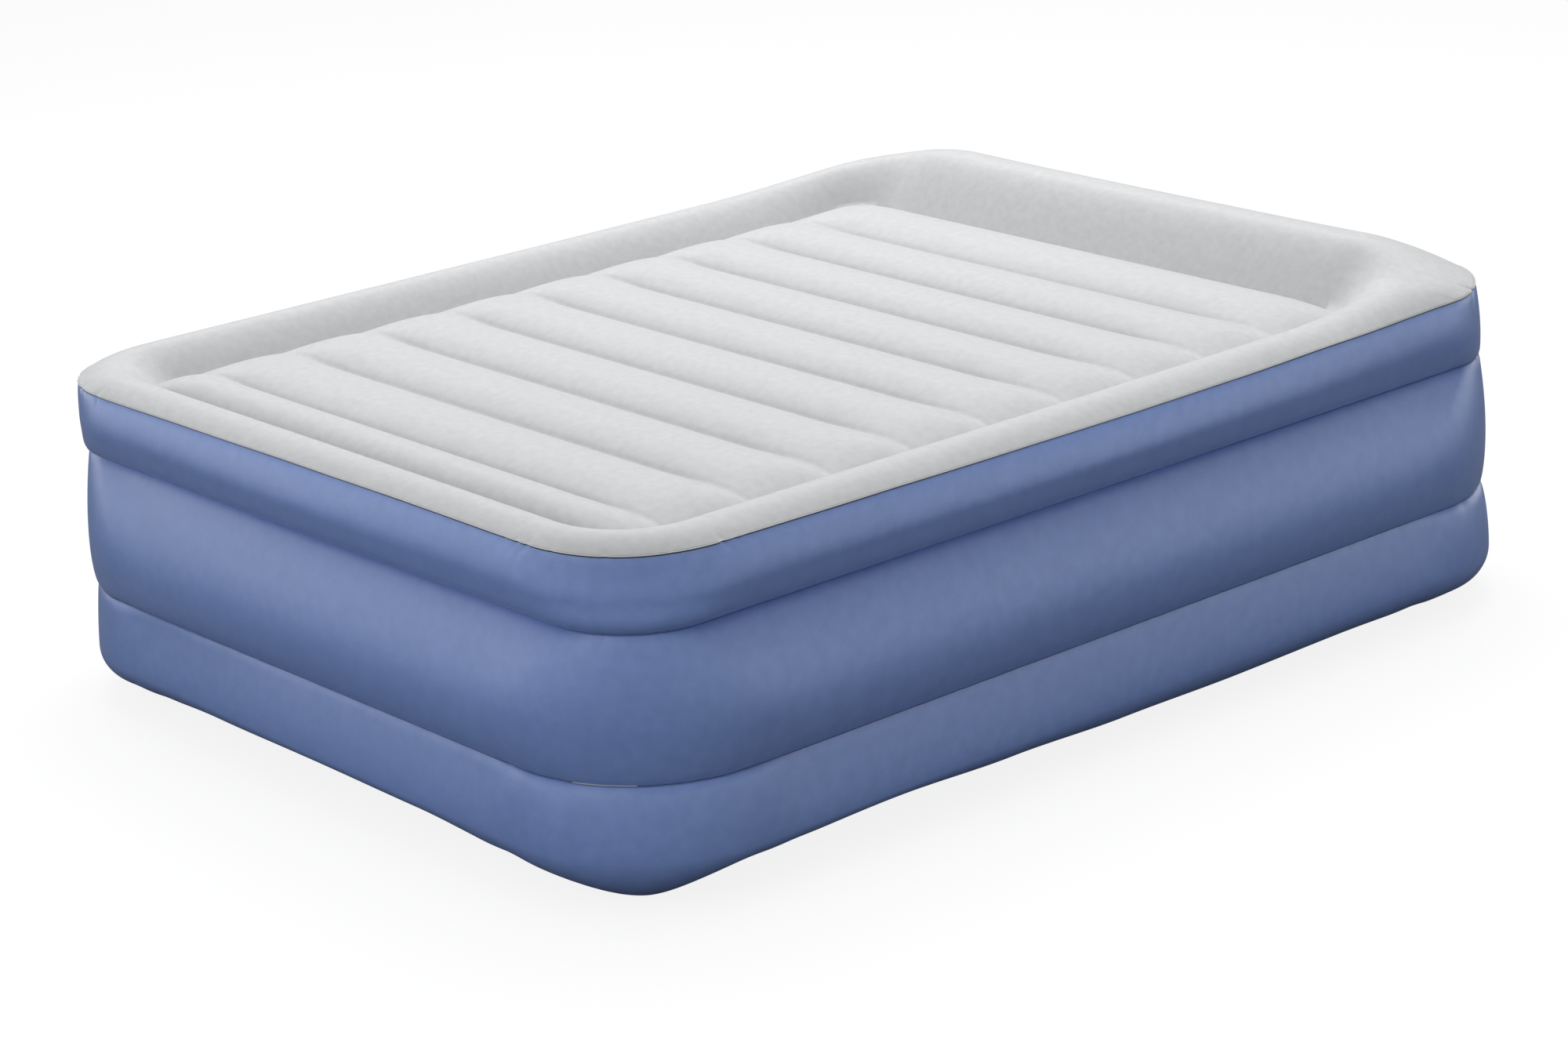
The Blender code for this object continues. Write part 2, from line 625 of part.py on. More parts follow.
def build_base_beams():
    """Lengthwise webs in the middle and the lower chamber."""
    spans = (("middle_beam", LOWER_GIRTH_Z + HALF_SEAM, UPPER_GIRTH_Z - HALF_SEAM),
             ("lower_beam", FILM + GAP, LOWER_GIRTH_Z - HALF_SEAM))
    for label, low, high in spans:
        for number, x in enumerate(BASE_BEAM_X, 1):
            box(f"{label}_{number}", (x - FILM / 2, BASE_BEAM_FOOT_Y, low),
                (x + FILM / 2, BASE_BEAM_HEAD_Y, high), CLEAR_FILM)


# ---------------------------------------------------------------- pump
def wall_profile():
    """(y, z) of the head wall's facets over the pump."""
    return [(max(p[1] for p in ring), ring[0][2]) for ring in middle_rings()]


WALL_MAX = max(y for y, z in wall_profile())
COLLAR_Y = WALL_MAX + FACE_CLEAR             # front of the frame
PLATE_BACK = COLLAR_Y + GAP
PLATE_FRONT = PLATE_BACK + PLATE
TUB_BACK = COLLAR_Y - TUB_DEPTH


def build_collar():
    """Moulded frame welded on the wall; its back follows the swollen wall."""
    collar = rounded_block("pump_collar", (PUMP_X, PUMP_Z), COLLAR_WIDTH, COLLAR_HEIGHT,
                           COLLAR_RADIUS, COLLAR_Y - COLLAR_DEPTH, COLLAR_Y, GREY, 5)
    hole = rounded_block("collar_cutter", (PUMP_X, PUMP_Z), TUB_WIDTH + 2 * GAP,
                         TUB_HEIGHT + 2 * GAP, TUB_RADIUS + GAP,
                         COLLAR_Y - COLLAR_DEPTH - CUT, COLLAR_Y + CUT, GREY)
    boolean(collar, hole)
    bm = bmesh.new()
    profile = [(y + GAP, z) for y, z in wall_profile()]
    back = COLLAR_Y - COLLAR_DEPTH - CUT
    ring = profile + [(back, profile[-1][1]), (back, profile[0][1])]
    sides = [[(PUMP_X + side * COLLAR_WIDTH, y, z) for y, z in ring] for side in (-1, 1)]
    skin_rings(bm, sides, True)
    boolean(collar, add_object("wall_cutter", bm, GREY))


def pump_centre(u, w, y=0.0):
    return (PUMP_X + u, y, PUMP_Z + w)


def screw_places():
    """Number and centre of each of the four face screws."""
    corners = [(side, level) for side in (-1, 1) for level in (-1, 1)]
    return [(number, pump_centre(side * SCREW_X, level * SCREW_Z))
            for number, (side, level) in enumerate(corners, 1)]


def build_housing():
    """The tub that holds the blower, open at the front, with four screw bosses."""
    tub = rounded_block("pump_housing", (PUMP_X, PUMP_Z), TUB_WIDTH, TUB_HEIGHT, TUB_RADIUS,
                        TUB_BACK, COLLAR_Y, DARK)
    hollow = rounded_block("housing_cutter", (PUMP_X, PUMP_Z), TUB_WIDTH - 2 * TUB_WALL,
                           TUB_HEIGHT - 2 * TUB_WALL, TUB_RADIUS - TUB_WALL,
                           TUB_BACK + TUB_WALL, COLLAR_Y + CUT, DARK)
    boolean(tub, hollow)
    root = TUB_BACK + TUB_WALL / 2
    for number, centre in screw_places():
        boolean(tub, drum(f"boss_{number}", SCREW_BOSS, root, COLLAR_Y, DARK, centre, 12),
                "UNION")
    bore = MOTOR_RADIUS + GAP
    cradle = tube("cradle", bore, bore + CRADLE_WALL, root, MOTOR_BACK + CRADLE_GRIP, DARK,
                  pump_centre(BLOWER_X, BLOWER_Z), 24)
    boolean(tub, cradle, "UNION")
    for number, centre in screw_places():
        boolean(tub, drum(f"pilot_{number}", SCREW_SHANK + GAP, COLLAR_Y - SCREW_LENGTH,
                          COLLAR_Y + CUT, DARK, centre, 12))
    boolean(tub, drum("port_cutter", PORT_RADIUS + GAP, TUB_BACK - CUT, TUB_BACK + CUT, DARK,
                      pump_centre(VALVE_X, VALVE_Z), 24))


HINGE_Y = PLATE_FRONT + HINGE_CLEAR + KNUCKLE_RADIUS
HINGE_Z = PUMP_Z + BAY_HEIGHT / 2 + HINGE_RISE
HINGE_SPAN = KNUCKLE_LENGTH + 2 * (GAP + LUG_LENGTH)


def hinge_bar(name, radius, low_x, high_x, finish, origin=(0, 0, 0)):
    """A cylinder along X on the hinge line, between two X measured from its middle."""
    bm = bmesh.new()
    rings = [[(PUMP_X + BAY_X + x, y, z) for y, z in circle(HINGE_Y, HINGE_Z, radius, 16)]
             for x in (low_x, high_x)]
    skin_rings(bm, rings, True)
    return add_object(name, bm, finish, origin)


def hinge_lug(name, low_x, high_x):
    """A round-nosed lug on the hinge line, rooted in the plate."""
    nose = []
    for step in range(9):
        sine, cosine = quarter_turn(2 * step, 8)
        nose.append((HINGE_Y + KNUCKLE_RADIUS * sine, HINGE_Z - KNUCKLE_RADIUS * cosine))
    root = PLATE_FRONT - LUG_ROOT
    side = [(root, HINGE_Z - KNUCKLE_RADIUS)] + nose + [(root, HINGE_Z + KNUCKLE_RADIUS)]
    bm = bmesh.new()
    skin_rings(bm, [[(PUMP_X + BAY_X + x, y, z) for y, z in side] for x in (low_x, high_x)],
               True)
    return add_object(name, bm, GREY)


def build_face_plate():
    """The pump's face, with holes for bay, switch, dial, air and screws."""
    plate = rounded_block("face_plate", (PUMP_X, PUMP_Z), PLATE_WIDTH, PLATE_HEIGHT,
                          PLATE_RADIUS, PLATE_BACK, PLATE_FRONT, GREY, 5)
    low, high = PLATE_BACK - CUT, PLATE_FRONT + CUT

    def window(name, u, w, width, height):
        x, z = PUMP_X + u, PUMP_Z + w
        boolean(plate, box(name, (x - width / 2, low, z - height / 2),
                           (x + width / 2, high, z + height / 2), GREY))

    window("bay_cutter", BAY_X, 0.0, BAY_WIDTH + 2 * GAP, BAY_HEIGHT + 2 * GAP)
    window("switch_cutter", SWITCH_X, SWITCH_Z, SWITCH_WIDTH + 2 * GAP, SWITCH_HEIGHT + 2 * GAP)
    boolean(plate, drum("dial_cutter", STEM_RADIUS + GAP, low, high, GREY,
                        pump_centre(DIAL_X, DIAL_Z), 24))
    for number in range(SLOT_COUNT):
        level = SLOT_SPACING * (number - (SLOT_COUNT - 1) / 2)
        window(f"slot_cutter_{number}", TUB_WIDTH / 2 - SLOT_INSET, level, SLOT_WIDTH,
               SLOT_HEIGHT)
    for number, centre in screw_places():
        boolean(plate, drum(f"screw_cutter_{number}", SCREW_SHANK + GAP, low, high, GREY,
                            centre, 12))
    near, far = KNUCKLE_LENGTH / 2 + GAP, HINGE_SPAN / 2
    boolean(plate, hinge_lug("lug_left", -far, -near), "UNION")
    boolean(plate, hinge_lug("lug_right", near, far), "UNION")
    boolean(plate, hinge_bar("lug_bore", PIN_RADIUS + GAP, -far - CUT, far + CUT, GREY))


def build_cord_bay():
    """Well behind the door where the flex is stowed, its gland and its door."""
    x, z = PUMP_X + BAY_X, PUMP_Z
    half_w, half_h = BAY_WIDTH / 2, BAY_HEIGHT / 2
    back = PLATE_FRONT - BAY_DEPTH
    well = box("cord_well", (x - half_w, back, z - half_h),
               (x + half_w, PLATE_FRONT, z + half_h), DARK)
    cut = box("well_cutter", (x - half_w + BAY_WALL, back + BAY_WALL, z - half_h + BAY_WALL),
              (x + half_w - BAY_WALL, PLATE_FRONT + CUT, z + half_h - BAY_WALL), DARK)
    boolean(well, cut)
    gland_at = (x + GLAND_X, 0.0, z + GLAND_Z)
    boolean(well, drum("gland_cutter", GLAND_NECK + GAP, back - CUT, back + CUT, DARK,
                       gland_at, 20))
    inside, tail = back + BAY_WALL + GAP, back - GLAND_TAIL
    profile = [(GLAND_BORE, tail), (GLAND_NECK, tail), (GLAND_NECK, inside),
               (GLAND_RADIUS, inside), (GLAND_TIP, inside + GLAND_NOSE),
               (GLAND_BORE, inside + GLAND_NOSE)]
    smooth(lathe("cord_gland", profile, SEAL, gland_at, 20))

    origin = (x, HINGE_Y, HINGE_Z)
    door_back, door_front = PLATE_FRONT + GAP, PLATE_FRONT + GAP + DOOR
    door = box("cord_door", (x - half_w - DOOR_OVERLAP, door_back, z - half_h - DOOR_OVERLAP),
               (x + half_w + DOOR_OVERLAP, door_front, HINGE_Z - KNUCKLE_RADIUS - HINGE_CLEAR),
               GREY, origin)
    half = KNUCKLE_LENGTH / 2
    tongue = box("door_tongue", (x - half, door_back, HINGE_Z - 2 * KNUCKLE_RADIUS),
                 (x + half, door_front, HINGE_Z), GREY)
    boolean(door, tongue, "UNION")
    boolean(door, hinge_bar("door_knuckle", KNUCKLE_RADIUS, -half, half, GREY), "UNION")
    boolean(door, hinge_bar("door_bore", PIN_RADIUS + GAP, -half - CUT, half + CUT, GREY))
    smooth(hinge_bar("door_pin", PIN_RADIUS, -HINGE_SPAN / 2, HINGE_SPAN / 2, STEEL))


def build_dial():
    """Mode dial, with its stem through the plate and its cam behind."""
    x, y, z = centre = pump_centre(DIAL_X, DIAL_Z)
    back = PLATE_FRONT + GAP
    front = back + DIAL_DISC
    origin = (x, back, z)
    profile = [(STEM_RADIUS, PLATE_BACK - STEM_LENGTH), (STEM_RADIUS, back),
               (DIAL_RADIUS, back), (DIAL_RADIUS, front - DIAL_CHAMFER),
               (DIAL_RADIUS - DIAL_CHAMFER, front)]
    dial = lathe("mode_dial", profile, DARK, centre, 40, False, origin)
    grip = box("dial_grip", (x - GRIP_HALF_WIDTH, back + DIAL_DISC / 2, z - GRIP_HALF_LENGTH),
               (x + GRIP_HALF_WIDTH, front + DIAL_GRIP, z + GRIP_HALF_LENGTH), DARK)
    boolean(dial, grip, "UNION")
    smooth(dial)
    seal_front = PLATE_BACK - GAP
    seal_back = seal_front - DIAL_SEAL
    smooth(tube("dial_seal", STEM_RADIUS + GAP, DIAL_SEAL_RADIUS, seal_back, seal_front, SEAL,
                centre, 24))
    cam_front = seal_back - GAP
    cam = tube("dial_cam", STEM_RADIUS + GAP, CAM_RADIUS, cam_front - CAM, cam_front, GREY,
               centre, 24, origin)
    nose = box("cam_nose", (x + CAM_NOSE_ROOT, cam_front - CAM, z - CAM_NOSE_HALF),
               (x + CAM_NOSE_TIP, cam_front, z + CAM_NOSE_HALF), GREY)
    boolean(cam, nose, "UNION")


def build_switch():
    """Rocker switch: body in the plate, rocker tilted to off."""
    x, z = PUMP_X + SWITCH_X, PUMP_Z + SWITCH_Z
    back = PLATE_FRONT - SWITCH_DEPTH
    body = box("switch_body", (x - SWITCH_WIDTH / 2, back, z - SWITCH_HEIGHT / 2),
               (x + SWITCH_WIDTH / 2, PLATE_FRONT, z + SWITCH_HEIGHT / 2), DARK)
    half = ROCKER_HEIGHT / 2
    lip = half - ROCKER_BEVEL
    across, up = ROCKER_WIDTH / 2 + GAP, half + ROCKER_CLEAR
    boolean(body, box("switch_pocket", (x - across, back + SWITCH_FLOOR, z - up),
                      (x + across, PLATE_FRONT + CUT, z + up), DARK))
    pivot = Vector((x, PLATE_FRONT - ROCKER_PIVOT, z))
    profile = [(lip, ROCKER_LIP), (0.0, ROCKER_DIP), (-lip, ROCKER_LIP), (-half, 0.0),
               (-ROCKER_KEEL_HALF, -ROCKER_KEEL), (ROCKER_KEEL_HALF, -ROCKER_KEEL), (half, 0.0)]
    bm = bmesh.new()
    turn = Matrix.Rotation(-ROCKER_TILT, 4, "X")
    rings = [[pivot + turn @ Vector((side * ROCKER_WIDTH / 2, depth, height))
              for height, depth in profile] for side in (-1, 1)]
    skin_rings(bm, rings, True)
    add_object("power_rocker", bm, SEAL, pivot)


VOLUTE_FRONT_Y = PLATE_BACK - VOLUTE_FRONT
VOLUTE_BACK_Y = VOLUTE_FRONT_Y - VOLUTE_DEPTH
MOTOR_FRONT = VOLUTE_BACK_Y - GAP
MOTOR_BACK = MOTOR_FRONT - MOTOR_LENGTH
FAN_BACK_Y = VOLUTE_BACK_Y + VOLUTE_WALL + FAN_CLEAR
SHAFT_FRONT_Y = FAN_BACK_Y + FAN_DEPTH
SEAT_REAR_Y = TUB_BACK - SEAT_STANDOUT
SEAT_INSIDE_Y = TUB_BACK + TUB_WALL + GAP


def turned_bar(name, low, high, angle, centre, finish):
    """A bar drawn along X, then turned about the Y line through the centre."""
    bm = bmesh.new()
    box_mesh(bm, low, high)
    place = Matrix.Translation(centre) @ Matrix.Rotation(angle, 4, "Y")
    bmesh.ops.transform(bm, matrix=place, verts=bm.verts)
    return add_object(name, bm, finish)


def build_blower():
    """Volute, its front cover and the fan."""
    x, y, z = centre = pump_centre(BLOWER_X, BLOWER_Z)
    bore, wall = SHAFT_RADIUS + SHAFT_CLEAR, VOLUTE_WALL
    back, front, inner = VOLUTE_BACK_Y, VOLUTE_FRONT_Y, VOLUTE_RADIUS - VOLUTE_WALL
    profile = [(bore, back), (VOLUTE_RADIUS, back), (VOLUTE_RADIUS, front), (inner, front),
               (inner, back + wall), (bore, back + wall)]
    volute = lathe("blower_volute", profile, GREY, centre, 32)
    reach = TUB_HEIGHT / 2 - TUB_WALL - GAP
    for level, tag in ((-1, "low"), (1, "high")):
        ends = sorted((level * (VOLUTE_RADIUS - VOLUTE_FOOT_ROOT), level * reach))
        foot = box("volute_foot_" + tag, (x - VOLUTE_FOOT_HALF, back, PUMP_Z + ends[0]),
                   (x + VOLUTE_FOOT_HALF, back + VOLUTE_FOOT_DEPTH, PUMP_Z + ends[1]), GREY)
        boolean(volute, foot, "UNION")
    outlet = box("outlet_cutter", (x - VOLUTE_RADIUS - CUT, back + OUTLET_BACK, z - OUTLET_HALF),
                 (x - VOLUTE_RADIUS + OUTLET_REACH, front - OUTLET_FRONT, z + OUTLET_HALF), GREY)
    boolean(volute, outlet)
    cover_back = front + GAP
    smooth(tube("blower_cover", INLET_RADIUS, VOLUTE_RADIUS, cover_back, cover_back + wall,
                GREY, centre, 32))

    bore = SHAFT_RADIUS + GAP
    fan = tube("blower_fan", bore, FAN_RADIUS, FAN_BACK_Y, FAN_BACK_Y + FAN_DISC, DARK, centre,
               32, (x, FAN_BACK_Y, z))
    boolean(fan, tube("fan_hub", bore, FAN_HUB, FAN_BACK_Y, SHAFT_FRONT_Y, DARK, centre, 16),
            "UNION")
    low = (BLADE_ROOT, FAN_BACK_Y + FAN_DISC / 2, -BLADE_HALF)
    high = (FAN_RADIUS - BLADE_INSET, SHAFT_FRONT_Y - BLADE_INSET, BLADE_HALF)
    for blade in range(FAN_BLADES):
        angle = 2 * math.pi * (blade + BLADE_PHASE) / FAN_BLADES
        boolean(fan, turned_bar(f"fan_blade_{blade}", low, high, angle, centre, DARK), "UNION")


def build_motor():
    """The can with its two bearings, and the shaft that carries fan and armature."""
    x, y, z = centre = pump_centre(BLOWER_X, BLOWER_Z)
    origin = (x, FAN_BACK_Y, z)
    low = MOTOR_BACK + BEARING_SETBACK
    smooth(drum("motor_shaft", SHAFT_RADIUS, low, SHAFT_FRONT_Y, STEEL, centre, 16, origin))
    bore, inner = BEARING_RADIUS + GAP, MOTOR_RADIUS - MOTOR_WALL
    rear_end, front_end = MOTOR_BACK + MOTOR_END, MOTOR_FRONT - MOTOR_END
    profile = [(bore, MOTOR_BACK), (MOTOR_RADIUS, MOTOR_BACK), (MOTOR_RADIUS, MOTOR_FRONT),
               (bore, MOTOR_FRONT), (bore, front_end), (inner, front_end), (inner, rear_end),
               (bore, rear_end)]
    smooth(lathe("motor_can", profile, STEEL, centre, 24))
    for tag, back in (("front", MOTOR_FRONT - BEARING_LENGTH - BEARING_SETBACK),
                      ("rear", low)):
        smooth(tube(f"{tag}_bearing", SHAFT_RADIUS + GAP, BEARING_RADIUS, back,
                    back + BEARING_LENGTH, BRASS, centre, 16))
    smooth(tube("motor_armature", SHAFT_RADIUS + GAP, ARMATURE_RADIUS,
                rear_end + ARMATURE_CLEAR, front_end - ARMATURE_CLEAR, STEEL, centre, 16, origin))


def build_valve_seat():
    """Seat in the back of the tub, with a guide for the rod on three spokes."""
    centre = pump_centre(VALVE_X, VALVE_Z)
    bore = PORT_RADIUS - SEAT_WALL
    inside, front = SEAT_INSIDE_Y, SEAT_INSIDE_Y + SEAT_FLANGE
    profile = [(bore, SEAT_REAR_Y), (PORT_RADIUS, SEAT_REAR_Y), (PORT_RADIUS, inside),
               (SEAT_FLANGE_RADIUS, inside), (SEAT_FLANGE_RADIUS, front), (bore, front)]
    seat = lathe("valve_seat", profile, GREY, centre, 24)
    rear = SEAT_REAR_Y + SPOKE_SETBACK
    guide = tube("seat_guide", ROD_RADIUS + GAP, GUIDE_RADIUS, rear, inside + GUIDE_LENGTH,
                 GREY, centre, 12)
    boolean(seat, guide, "UNION")
    low, high = (SPOKE_ROOT, rear, -SPOKE_HALF), (bore + SPOKE_BITE, inside, SPOKE_HALF)
    for spoke in range(SPOKE_COUNT):
        angle = 2 * math.pi * spoke / SPOKE_COUNT
        boolean(seat, turned_bar(f"seat_spoke_{spoke}", low, high, angle, centre, GREY), "UNION")


def build_valve():
    """The spring-closed outlet valve: poppet with its rod, cap and spring."""
    x, y, z = centre = pump_centre(VALVE_X, VALVE_Z)
    disc_front = SEAT_REAR_Y - GAP
    rod_front = disc_front + ROD_LENGTH
    origin = (x, disc_front, z)
    profile = [(POPPET_RADIUS, disc_front - POPPET), (POPPET_RADIUS, disc_front),
               (ROD_RADIUS, disc_front), (ROD_RADIUS, rod_front)]
    smooth(lathe("valve_poppet", profile, SEAL, centre, 24, False, origin))
    cap_back = rod_front - CAP_SETBACK - CAP
    smooth(tube("spring_cap", ROD_RADIUS + GAP, CAP_RADIUS, cap_back, cap_back + CAP, GREY,
                centre, 16, origin))
    low = SEAT_INSIDE_Y + SEAT_FLANGE + SPRING_WIRE + GAP
    high = cap_back - SPRING_WIRE - GAP
    curve = bpy.data.curves.new("valve_spring", "CURVE")
    curve.dimensions = "3D"
    spline = curve.splines.new("POLY")
    count = SPRING_TURNS * SPRING_STEPS
    spline.points.add(count)
    for k in range(count + 1):
        angle = 2 * math.pi * k / SPRING_STEPS
        spline.points[k].co = (x + SPRING_RADIUS * math.cos(angle), mix(low, high, k / count),
                               z + SPRING_RADIUS * math.sin(angle), 1)
    curve.bevel_depth = SPRING_WIRE
    curve.bevel_resolution = 1
    curve.use_fill_caps = True
    curve.materials.append(material(*STEEL))
    spring = bpy.data.objects.new("valve_spring", curve)
    bpy.context.collection.objects.link(spring)


def build_screws():
    """Four screws that hold the face plate on the housing's bosses."""
    tip, seat = COLLAR_Y - SCREW_LENGTH + SCREW_TIP_CLEAR, PLATE_FRONT + GAP
    for number, centre in screw_places():
        profile = [(SCREW_SHANK, tip), (SCREW_SHANK, seat), (SCREW_HEAD, seat),
                   (SCREW_HEAD, seat + SCREW_HEAD_RISE / 2),
                   (SCREW_HEAD_TOP, seat + SCREW_HEAD_RISE)]
        smooth(lathe(f"face_screw_{number}", profile, STEEL, centre, 12, False))


build_top_sheet()
build_upper_band()
build_middle_band()
build_lower_band()
build_bottom_sheet()
build_deck("middle_deck", UPPER_GIRTH, UPPER_GIRTH_Z)
build_deck("lower_deck", LOWER_GIRTH, LOWER_GIRTH_Z)
build_cross_beams()
build_base_beams()
build_collar()
build_housing()
build_face_plate()
build_cord_bay()
build_dial()
build_switch()
build_blower()
build_motor()
build_valve_seat()
build_valve()
build_screws()
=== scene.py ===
# %% [markdown]
# # A raised air bed, dressed over its working model
# The rigid model holds the sizes, the pump and everything that moves. This
# lesson makes what the eye sees: a flocked top with its channels, three swollen
# side tiers of satin vinyl, welds, puckers, and the finish of the pump. Inflated
# film is a surface under even pressure, so every form here is a smooth bulge
# between two lines that are held: that is the one idea behind all the shapes.

# %% Load the frame
import json
import math

import bmesh
import bpy
import numpy as np
from mathutils import Matrix, Vector


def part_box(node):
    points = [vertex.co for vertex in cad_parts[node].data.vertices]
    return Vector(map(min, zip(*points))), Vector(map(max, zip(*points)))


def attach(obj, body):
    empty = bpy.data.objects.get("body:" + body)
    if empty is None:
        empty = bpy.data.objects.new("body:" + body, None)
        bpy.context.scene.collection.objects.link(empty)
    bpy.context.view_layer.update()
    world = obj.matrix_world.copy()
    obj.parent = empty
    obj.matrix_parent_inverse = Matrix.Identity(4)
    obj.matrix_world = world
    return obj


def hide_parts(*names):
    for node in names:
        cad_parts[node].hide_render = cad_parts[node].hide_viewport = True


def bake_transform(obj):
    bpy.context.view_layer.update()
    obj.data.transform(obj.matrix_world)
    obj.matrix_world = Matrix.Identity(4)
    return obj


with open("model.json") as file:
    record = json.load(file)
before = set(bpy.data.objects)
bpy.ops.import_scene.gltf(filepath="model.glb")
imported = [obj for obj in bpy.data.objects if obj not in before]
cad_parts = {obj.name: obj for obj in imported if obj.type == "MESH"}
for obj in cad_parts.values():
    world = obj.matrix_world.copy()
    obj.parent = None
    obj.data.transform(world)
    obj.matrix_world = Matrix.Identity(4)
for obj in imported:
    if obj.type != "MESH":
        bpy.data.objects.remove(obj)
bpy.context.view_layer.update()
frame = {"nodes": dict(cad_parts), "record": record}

# %% [markdown]
# ## Sizes, read from the frame
# The heights of the three weld lines and the half sizes of each outline come
# from the boxes of the model's own pieces, so the dressed bed can't drift away
# from the working one. Corner radii and swell shapes are the sheet maker's
# choice, and are given here as real sizes in metres.

# %% Measure the weld lines
FILM = 0.0005


def box(node):
    low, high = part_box(node)
    return Vector(low), Vector(high)


TOP_LOW, TOP_HIGH = box("top_sheet")
UPPER_LOW, UPPER_HIGH = box("upper_side_band")
MIDDLE_LOW, MIDDLE_HIGH = box("middle_side_band")
LOWER_HIGH = box("lower_side_band")[1]
UPPER_DECK, LOWER_DECK = box("middle_deck")[1], box("lower_deck")[1]
FLOOR_LOW, FLOOR_HIGH = box("bottom_sheet")

RIM_Z = UPPER_HIGH.z + FILM
UPPER_GIRTH_Z = (UPPER_LOW.z + MIDDLE_HIGH.z) / 2
LOWER_GIRTH_Z = (MIDDLE_LOW.z + LOWER_HIGH.z) / 2
DECK_MARGIN = 0.001            # a deck ends this far inside its weld
print("weld heights:", round(RIM_Z, 4), round(UPPER_GIRTH_Z, 4), round(LOWER_GIRTH_Z, 4))

# %% [markdown]
# ## The outline of a bed, seen from above
# Every horizontal section of the bed is a rounded rectangle. All of them are
# sampled at the same stations, so sections at different heights can be skinned
# with quads. The stations are close together, about 8 mm on the straights and
# 4 mm round the corners, because the small puckers at the welds are real shape.
# Round a corner a station has an angle; on a side it has a fraction along it.

# %% Sample a rounded rectangle at fixed stations
CORNER_STATIONS = 72
SIDE_STATIONS = (150, 210, 150, 210)      # head, left, foot and right side


def station_table():
    """Three values a station: quarter, angle, and fraction along its side or -1."""
    rows = []
    for quarter in range(4):
        for step in range(CORNER_STATIONS + 1):
            rows.append((quarter, math.pi / 2 * (quarter + step / CORNER_STATIONS), -1.0))
        for step in range(1, SIDE_STATIONS[quarter]):
            rows.append((quarter, math.pi / 2 * (quarter + 1), step / SIDE_STATIONS[quarter]))
    return np.array(rows)


STATIONS = station_table()
QUARTER = STATIONS[:, 0].astype(int)
ANGLE = STATIONS[:, 1]
ALONG = STATIONS[:, 2]
OUTWARD = np.column_stack([np.cos(ANGLE), np.sin(ANGLE)])
CORNER_SIGNS = np.array([(1, 1), (-1, 1), (-1, -1), (1, -1)], float)


def outline(half_x, foot, head, radius):
    """XY of every station on a rounded rectangle."""
    reach_x = np.where(CORNER_SIGNS[:, 0] > 0, half_x - radius, -half_x + radius)
    reach_y = np.where(CORNER_SIGNS[:, 1] > 0, head - radius, foot + radius)
    centres = np.column_stack([reach_x, reach_y])
    points = centres[QUARTER] + radius * OUTWARD
    following = centres[(QUARTER + 1) % 4] + radius * OUTWARD
    t = np.clip(ALONG, 0, 1)[:, None]
    return np.where(ALONG[:, None] < 0, points, points * (1 - t) + following * t)


def smoothstep(low, high, value):
    """From 0 at low to 1 at high, with a flat start and end."""
    t = np.clip((value - low) / (high - low), 0, 1)
    return t * t * (3 - 2 * t)


def crowded(k, count, crowding):
    """Step k of count, from 0 to 1, with the steps closer together at both ends."""
    eased = 0.5 - 0.5 * math.cos(math.pi * k / count)
    return (1 - crowding) * k / count + crowding * eased


print("stations in a section:", len(STATIONS))

# %% [markdown]
# ## Turning point grids into pieces
# A piece of film starts as rows of points. The helper joins them into quads,
# shades the mesh smooth and makes it ride on the bed's body, so that it stays put
# while the pump's parts move. A Solidify then gives it the thickness of the film,
# on the inner side.

# %% Make a piece from rows of points
BED = "mattress"


def grid_faces(rows, columns, closed):
    """Quads over a grid of points, closed round the bed or open."""
    wide = columns if closed else columns - 1
    index = np.arange(rows * columns).reshape(rows, columns)
    here = index[:-1, :wide]
    right = np.roll(index, -1, axis=1)[:-1, :wide]
    above = index[1:, :wide]
    corner = np.roll(index, -1, axis=1)[1:, :wide]
    return np.stack([here, right, corner, above], axis=-1).reshape(-1, 4)


def add_piece(name, points, faces, material):
    mesh = bpy.data.meshes.new(name)
    mesh.from_pydata([tuple(p) for p in points], [], [tuple(int(i) for i in f) for f in faces])
    mesh.validate()
    mesh.update()
    mesh.shade_smooth()
    mesh.materials.append(material)
    piece = bpy.data.objects.new(name, mesh)
    bpy.context.collection.objects.link(piece)
    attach(piece, BED)
    return piece


def give_thickness(piece):
    film = piece.modifiers.new("film", "SOLIDIFY")
    film.thickness = FILM
    film.offset = -1.0


print("every film piece rides on:", BED)

# %% [markdown]
# ## Shared surface effects
# Two effects are used by more than one finish, so each is a node group that is
# built once. "Fine grain" gives the close texture of flock or embossed film as
# a height and as a mask. "Soft mottle" gives the slow change of tone that
# any large sheet has from handling. Both work in object space, in metres, so
# the texture keeps its real size wherever the piece is.

# %% Build the shared node groups


def new_group(name, inputs, outputs):
    group = bpy.data.node_groups.new(name, "ShaderNodeTree")
    for label, kind, default in inputs:
        socket = group.interface.new_socket(name=label, in_out="INPUT", socket_type=kind)
        socket.default_value = default
    for label, kind in outputs:
        group.interface.new_socket(name=label, in_out="OUTPUT", socket_type=kind)
    start = group.nodes.new("NodeGroupInput")
    end = group.nodes.new("NodeGroupOutput")
    return group, start, end


